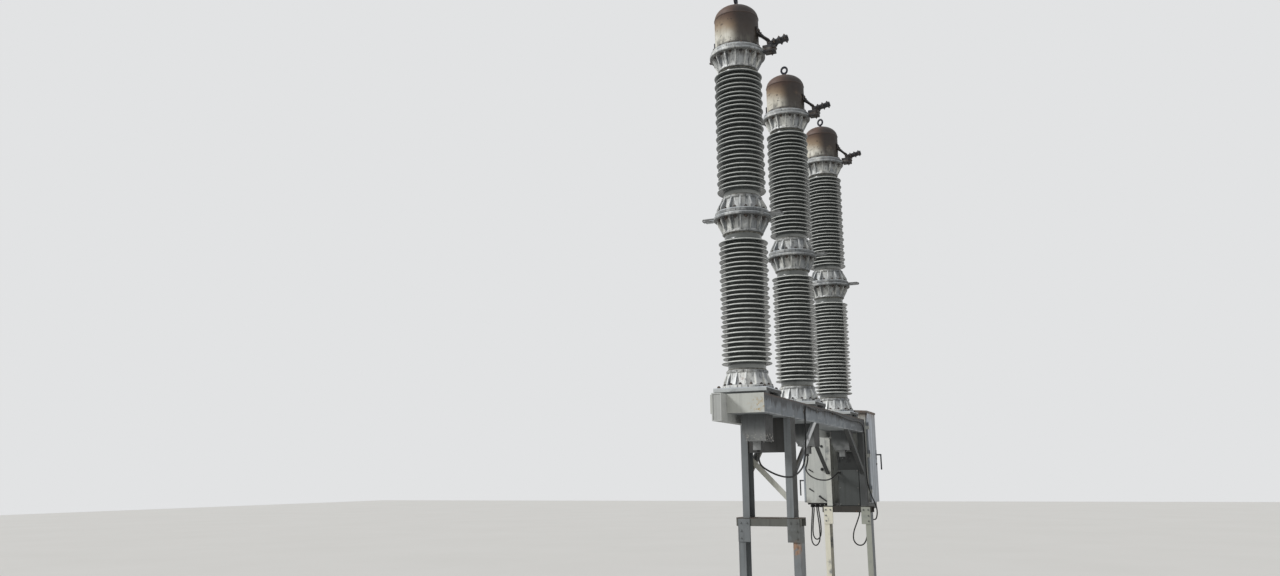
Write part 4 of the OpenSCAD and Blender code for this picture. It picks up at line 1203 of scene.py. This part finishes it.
class FrameFittings(bpy.types.Operator):
    """Bolts of the mounting plates and beams, welds and clip screws"""

    bl_idname = "breaker.frame_fittings"
    bl_label = "Frame fittings"

    def execute(self, context):
        for number, x in enumerate(POLES, 1):
            corners = [(x + a * 0.18, b * 0.208) for a in (-1, 1) for b in (-1, 1)]
            bolts(f"mount_bolts_{number}", 0.018,
                  [((*corner, POLE_Z), UP) for corner in corners]
                  + [((*corner, BEAM_TOP - 0.010), DOWN) for corner in corners])
        clip_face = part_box("cable_clips")[0][1]
        screws = [((x, clip_face, z + lift), (0, -1, 0))
                  for x, z in ((-1.298, 2.21), (-0.753, 2.25), (-0.013, 2.274), (0.397, 2.254),
                               (1.4, 2.246)) for lift in (-0.017, 0.017)]
        bolts("clip_screws", 0.005, screws, finish="zinc_bolt", stud=1)
        # Weld beads where posts meet beams and cross beams
        beads = []
        for x in (NEAR_POST, FAR_POST):
            for side in (-1, 1):
                for z in (BEAM_Z, CROSSBEAM_TOP):
                    y = side * BEAM_Y
                    beads.append(rod((x + 0.004, y, z), (x + CHANNEL - 0.004, y, z), 0.005, 8))
                    beads += weld_frame(x, side * 0.178, side * 0.236, z, 0.005)
        keep(joined(beads), "post_welds", "near_leg_paint")
        return {"FINISHED"}


class StandFittings(bpy.types.Operator):
    """Splice bolts, anchor bolts and foot welds of the legs"""

    bl_idname = "breaker.stand_fittings"
    bl_label = "Stand fittings"

    def execute(self, context):
        row = CROSSBEAM_TOP - 0.045
        for name, x in (("near", NEAR_POST), ("far", FAR_POST)):
            bolts(f"{name}_splice_bolts", 0.010,
                  [((x - 0.008, side * y, z), NEARWARD) for side in (-1, 1)
                   for y, z in ((0.205, row), (0.262, row), (0.262, 1.115), (0.262, 1.05))],
                  finish="near_leg_paint", stud=1)
            bolts(f"{name}_anchor_nuts", 0.020,
                  [((x + CHANNEL / 2 + end, side * 0.255, FOOT_PLATE_TOP), UP)
                   for side in (-1, 1) for end in (-0.107, 0.107)], stud=2.2)
            welds = []
            for side in (-1, 1):
                inner, outer = side * 0.2225, side * 0.2875
                welds.append(rod((x, outer, FOOT_PLATE_TOP),
                                 (x + CHANNEL, outer, FOOT_PLATE_TOP), 0.006, 8))
                welds += weld_frame(x, inner, outer, FOOT_PLATE_TOP, 0.006)
            keep(joined(welds), f"{name}_foot_welds", "near_leg_paint")
        return {"FINISHED"}


class Housings(bpy.types.Operator):
    """Fittings of the mechanism housings under the frame"""

    bl_idname = "breaker.housings"
    bl_label = "Housings"

    def execute(self, context):
        base = BEAM_Z - 0.230
        for number, x in enumerate(POLES, 1):
            paint = f"housing_paint_{number}"
            bolts(f"housing_screws_{number}", 0.007,
                  [((x + end * 0.11, y, base), DOWN) for end in (-1, 1)
                   for y in (-0.165, -0.10, -0.04)], paint, 1)
            keep(gland((x, -0.0765, base - 0.075), DOWN), f"housing_gland_{number}",
                 "gland_paint")
            lid = block((x - 0.0375, -0.1045, base - 0.068), (x - 0.033, -0.0485, base - 0.010),
                        0.001)
            keep(lid, f"gland_box_lid_{number}", paint)
        return {"FINISHED"}


# ---------------------------------------------------------------- cabinet and relay box


class Cabinet(bpy.types.Operator):
    """Seals, locks and marks of the drive cabinet"""

    bl_idname = "breaker.cabinet"
    bl_label = "Cabinet"

    def execute(self, context):
        x0, y0, z0 = CABINET_LOW
        x1, y1, z1 = CABINET_HIGH
        # Rubber seals round both door openings
        for name, y, way in (("right", y0, -1), ("left", y1, 1)):
            near, far = sorted((y, y + way * 0.004))
            keep(joined([block((left, near, low), (right, far, high), 0.001)
                         for left, right, low, high in (
                             (x0 + 0.006, x0 + 0.016, z0 + 0.010, z1 - 0.010),
                             (x1 - 0.016, x1 - 0.006, z0 + 0.010, z1 - 0.010),
                             (x0 + 0.016, x1 - 0.016, z0 + 0.010, z0 + 0.018),
                             (x0 + 0.016, x1 - 0.016, z1 - 0.018, z1 - 0.010))]),
                 f"{name}_door_seal", "rubber")
        # Lock barrels under the handles
        for name, x, y, z, way in (("right", 2.305, -0.277, 1.745, -1),
                                   ("left", 1.885, 0.577, 1.424, 1)):
            keep(joined([rod((x, y, z), (x, y + way * depth, z), radius, 20)
                         for depth, radius in ((0.010, 0.011), (0.004, 0.016))]),
                 f"{name}_lock", "zinc_bolt", f"{name}_door")
        # Marks on the face towards the poles: knob, plug, two slanted lugs whose dark paint is a
        # painted shadow, and a bar
        knob = joined([rod((x0 - back, 0.331, 1.682), (x0 - out, 0.331, 1.682), radius, 24)
                       for back, out, radius in ((0, 0.010, 0.020), (0.009, 0.028, 0.013))])
        keep(knob, "face_knob", "gland_paint")
        keep(rod((x0, 0.327, 1.972), (x0 - 0.008, 0.327, 1.972), 0.017, 20), "face_plug",
             "handle_paint")
        for number, (start, end) in enumerate((((0.508, 1.684), (0.451, 1.649)),
                                               ((0.510, 1.441), (0.453, 1.405))), 1):
            keep(rod((x0 - 0.004, *start), (x0 - 0.004, *end), 0.008, 10),
                 f"face_lug_{number}", "lug_shadow_paint")
        bar = joined([rod((x0 - 0.008, 0.375, 1.343), (x0 - 0.008, 0.275, 1.270), 0.009, 10),
                      rod((x0, 0.375, 1.343), (x0 - 0.018, 0.375, 1.343), 0.014, 14)])
        keep(bar, "face_bar", "handle_paint")
        # Glands in the floor and in the gland plate
        mouths = [(1.960, -0.150, z0 - 0.010), (1.905, -0.180, z0 - 0.010)]
        mouths += [(x, y, z0 - 0.032) for x in (1.910, 2.000)
                   for y in (0.320, 0.380, 0.440, 0.500)]
        keep(joined([gland(mouth, DOWN, 0.017) for mouth in mouths]), "cabinet_glands",
             "gland_paint")
        # Folded hem round the roof
        low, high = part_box("cabinet_roof")
        z, thick = low[2] + 0.003, 0.0045
        left, right, front, back = (low[0] + thick, high[0] - thick, low[1] + thick,
                                    high[1] - thick)
        corners = [(left, front), (right, front), (right, back), (left, back)]
        hem = [rod((*a, z), (*b, z), thick, 8) for a, b in zip(corners, corners[1:] + corners[:1])]
        keep(joined(hem), "roof_hem", "roof_paint")
        # Screws of the case on its brackets
        bolts("cabinet_foot_bolts", 0.012,
              [((x, side * 0.220, z0 + 0.003), UP) for x in (1.90, 2.29) for side in (-1, 1)])
        return {"FINISHED"}


class RelayBox(bpy.types.Operator):
    """Fittings of the relay box between the far posts"""

    bl_idname = "breaker.relay_box"
    bl_label = "Relay box"

    def execute(self, context):
        face, low = FAR_POST + 0.010, CROSSBEAM_TOP
        right, left = -0.172, 0.093
        bolts("relay_cover_screws", 0.006,
              [((face, y, low + z), NEARWARD) for y in (right + 0.022, left - 0.022)
               for z in (0.022, 0.22, 0.425)], "zinc_bolt", 1)
        x, y = face + 0.008, right + 0.006
        hinges = [rod((x, y, low + z), (x, y, low + z + 0.05), 0.006) for z in (0.49, 0.59)]
        latch = block((face + 0.004, left - 0.030, low + 0.545),
                      (face + 0.013, left - 0.010, low + 0.585))
        keep(joined(hinges + [latch]), "relay_box_hinges", "relay_paint")
        mouths = [gland((face, 0.072, low + 0.410), NEARWARD),
                  gland((1.697, -0.140, low - 0.040), DOWN, 0.0165)]
        keep(joined(mouths), "relay_glands", "gland_paint")
        return {"FINISHED"}


# ---------------------------------------------------------------- stage


class Stage(bpy.types.Operator):
    """Pale floor, white surroundings and soft studio light"""

    bl_idname = "breaker.stage"
    bl_label = "Stage"

    def lamp(self, context, name, energy, towards, spread):
        data = bpy.data.lights.new(name, "SUN")
        data.energy = energy
        data.angle = math.radians(spread)
        sun = bpy.data.objects.new(name, data)
        context.collection.objects.link(sun)
        sun.rotation_euler = Vector(towards).to_track_quat("-Z", "Y").to_euler()

    def execute(self, context):
        pick()
        bpy.ops.mesh.primitive_plane_add(size=90, location=(6, 2, 0))
        floor = bpy.context.object
        floor.name = "floor"
        bake_place()
        f = Finish("floor_paint", tone(214, 213, 209), 0.9)
        f.coat(tone(222, 221, 218), f.noise(0.4, 3))
        f.done()
        floor.data.materials.append(FINISH["floor_paint"])

        # White light, and a pale grey where the surroundings are seen or mirrored
        world = bpy.data.worlds.new("studio")
        context.scene.world = world
        world.use_nodes = True
        tree = world.node_tree
        light = tree.nodes["Background"]
        light.inputs["Color"].default_value = (1.0, 1.0, 1.0, 1)
        light.inputs["Strength"].default_value = 0.45
        seen = tree.nodes.new("ShaderNodeBackground")
        seen.inputs["Color"].default_value = (*tone(226, 227, 228), 1)
        path = tree.nodes.new("ShaderNodeLightPath")
        share = path.outputs["Is Camera Ray"]
        for ray in ("Is Glossy Ray", "Is Transmission Ray"):
            either = tree.nodes.new("ShaderNodeMath")
            either.operation = "MAXIMUM"
            tree.links.new(share, either.inputs[0])
            tree.links.new(path.outputs[ray], either.inputs[1])
            share = either.outputs[0]
        blend = tree.nodes.new("ShaderNodeMixShader")
        for source, socket in zip((share, light.outputs[0], seen.outputs[0]), blend.inputs):
            tree.links.new(source, socket)
        tree.links.new(blend.outputs[0], tree.nodes["World Output"].inputs["Surface"])

        self.lamp(context, "key", 2.0, (0.58, -0.78, -0.72), 12)
        self.lamp(context, "fill", 0.14, (0.5, 0.75, -0.4), 60)
        context.scene.view_settings.view_transform = "Standard"
        return {"FINISHED"}


# ---------------------------------------------------------------- add-on


STEPS = (PhotoCamera, Finishes, Cables, Porcelain, Castings, Caps, LineClamps, FrameFittings,
         StandFittings, Housings, Cabinet, RelayBox, Stage)


class BreakerPanel(bpy.types.Panel):
    """Sizes, colours and building steps in the sidebar"""

    bl_idname = "VIEW3D_PT_breaker"
    bl_label = "Circuit breaker"
    bl_space_type = "VIEW_3D"
    bl_region_type = "UI"
    bl_category = "Breaker"

    def draw(self, context):
        for group in (context.scene.breaker_sizes, context.scene.breaker_colours):
            for name in group.__annotations__:
                self.layout.prop(group, name)
        for step in STEPS:
            self.layout.operator(step.bl_idname)


CLASSES = (BreakerSizes, BreakerColours, *STEPS, BreakerPanel)


def register():
    for kind in CLASSES:
        bpy.utils.register_class(kind)
    bpy.types.Scene.breaker_sizes = PointerProperty(type=BreakerSizes)
    bpy.types.Scene.breaker_colours = PointerProperty(type=BreakerColours)


def unregister():
    del bpy.types.Scene.breaker_sizes
    del bpy.types.Scene.breaker_colours
    for kind in reversed(CLASSES):
        bpy.utils.unregister_class(kind)


def main():
    register()
    for step in STEPS:
        group, name = step.bl_idname.split(".")
        getattr(getattr(bpy.ops, group), name)()


if __name__ == "__main__":
    main()
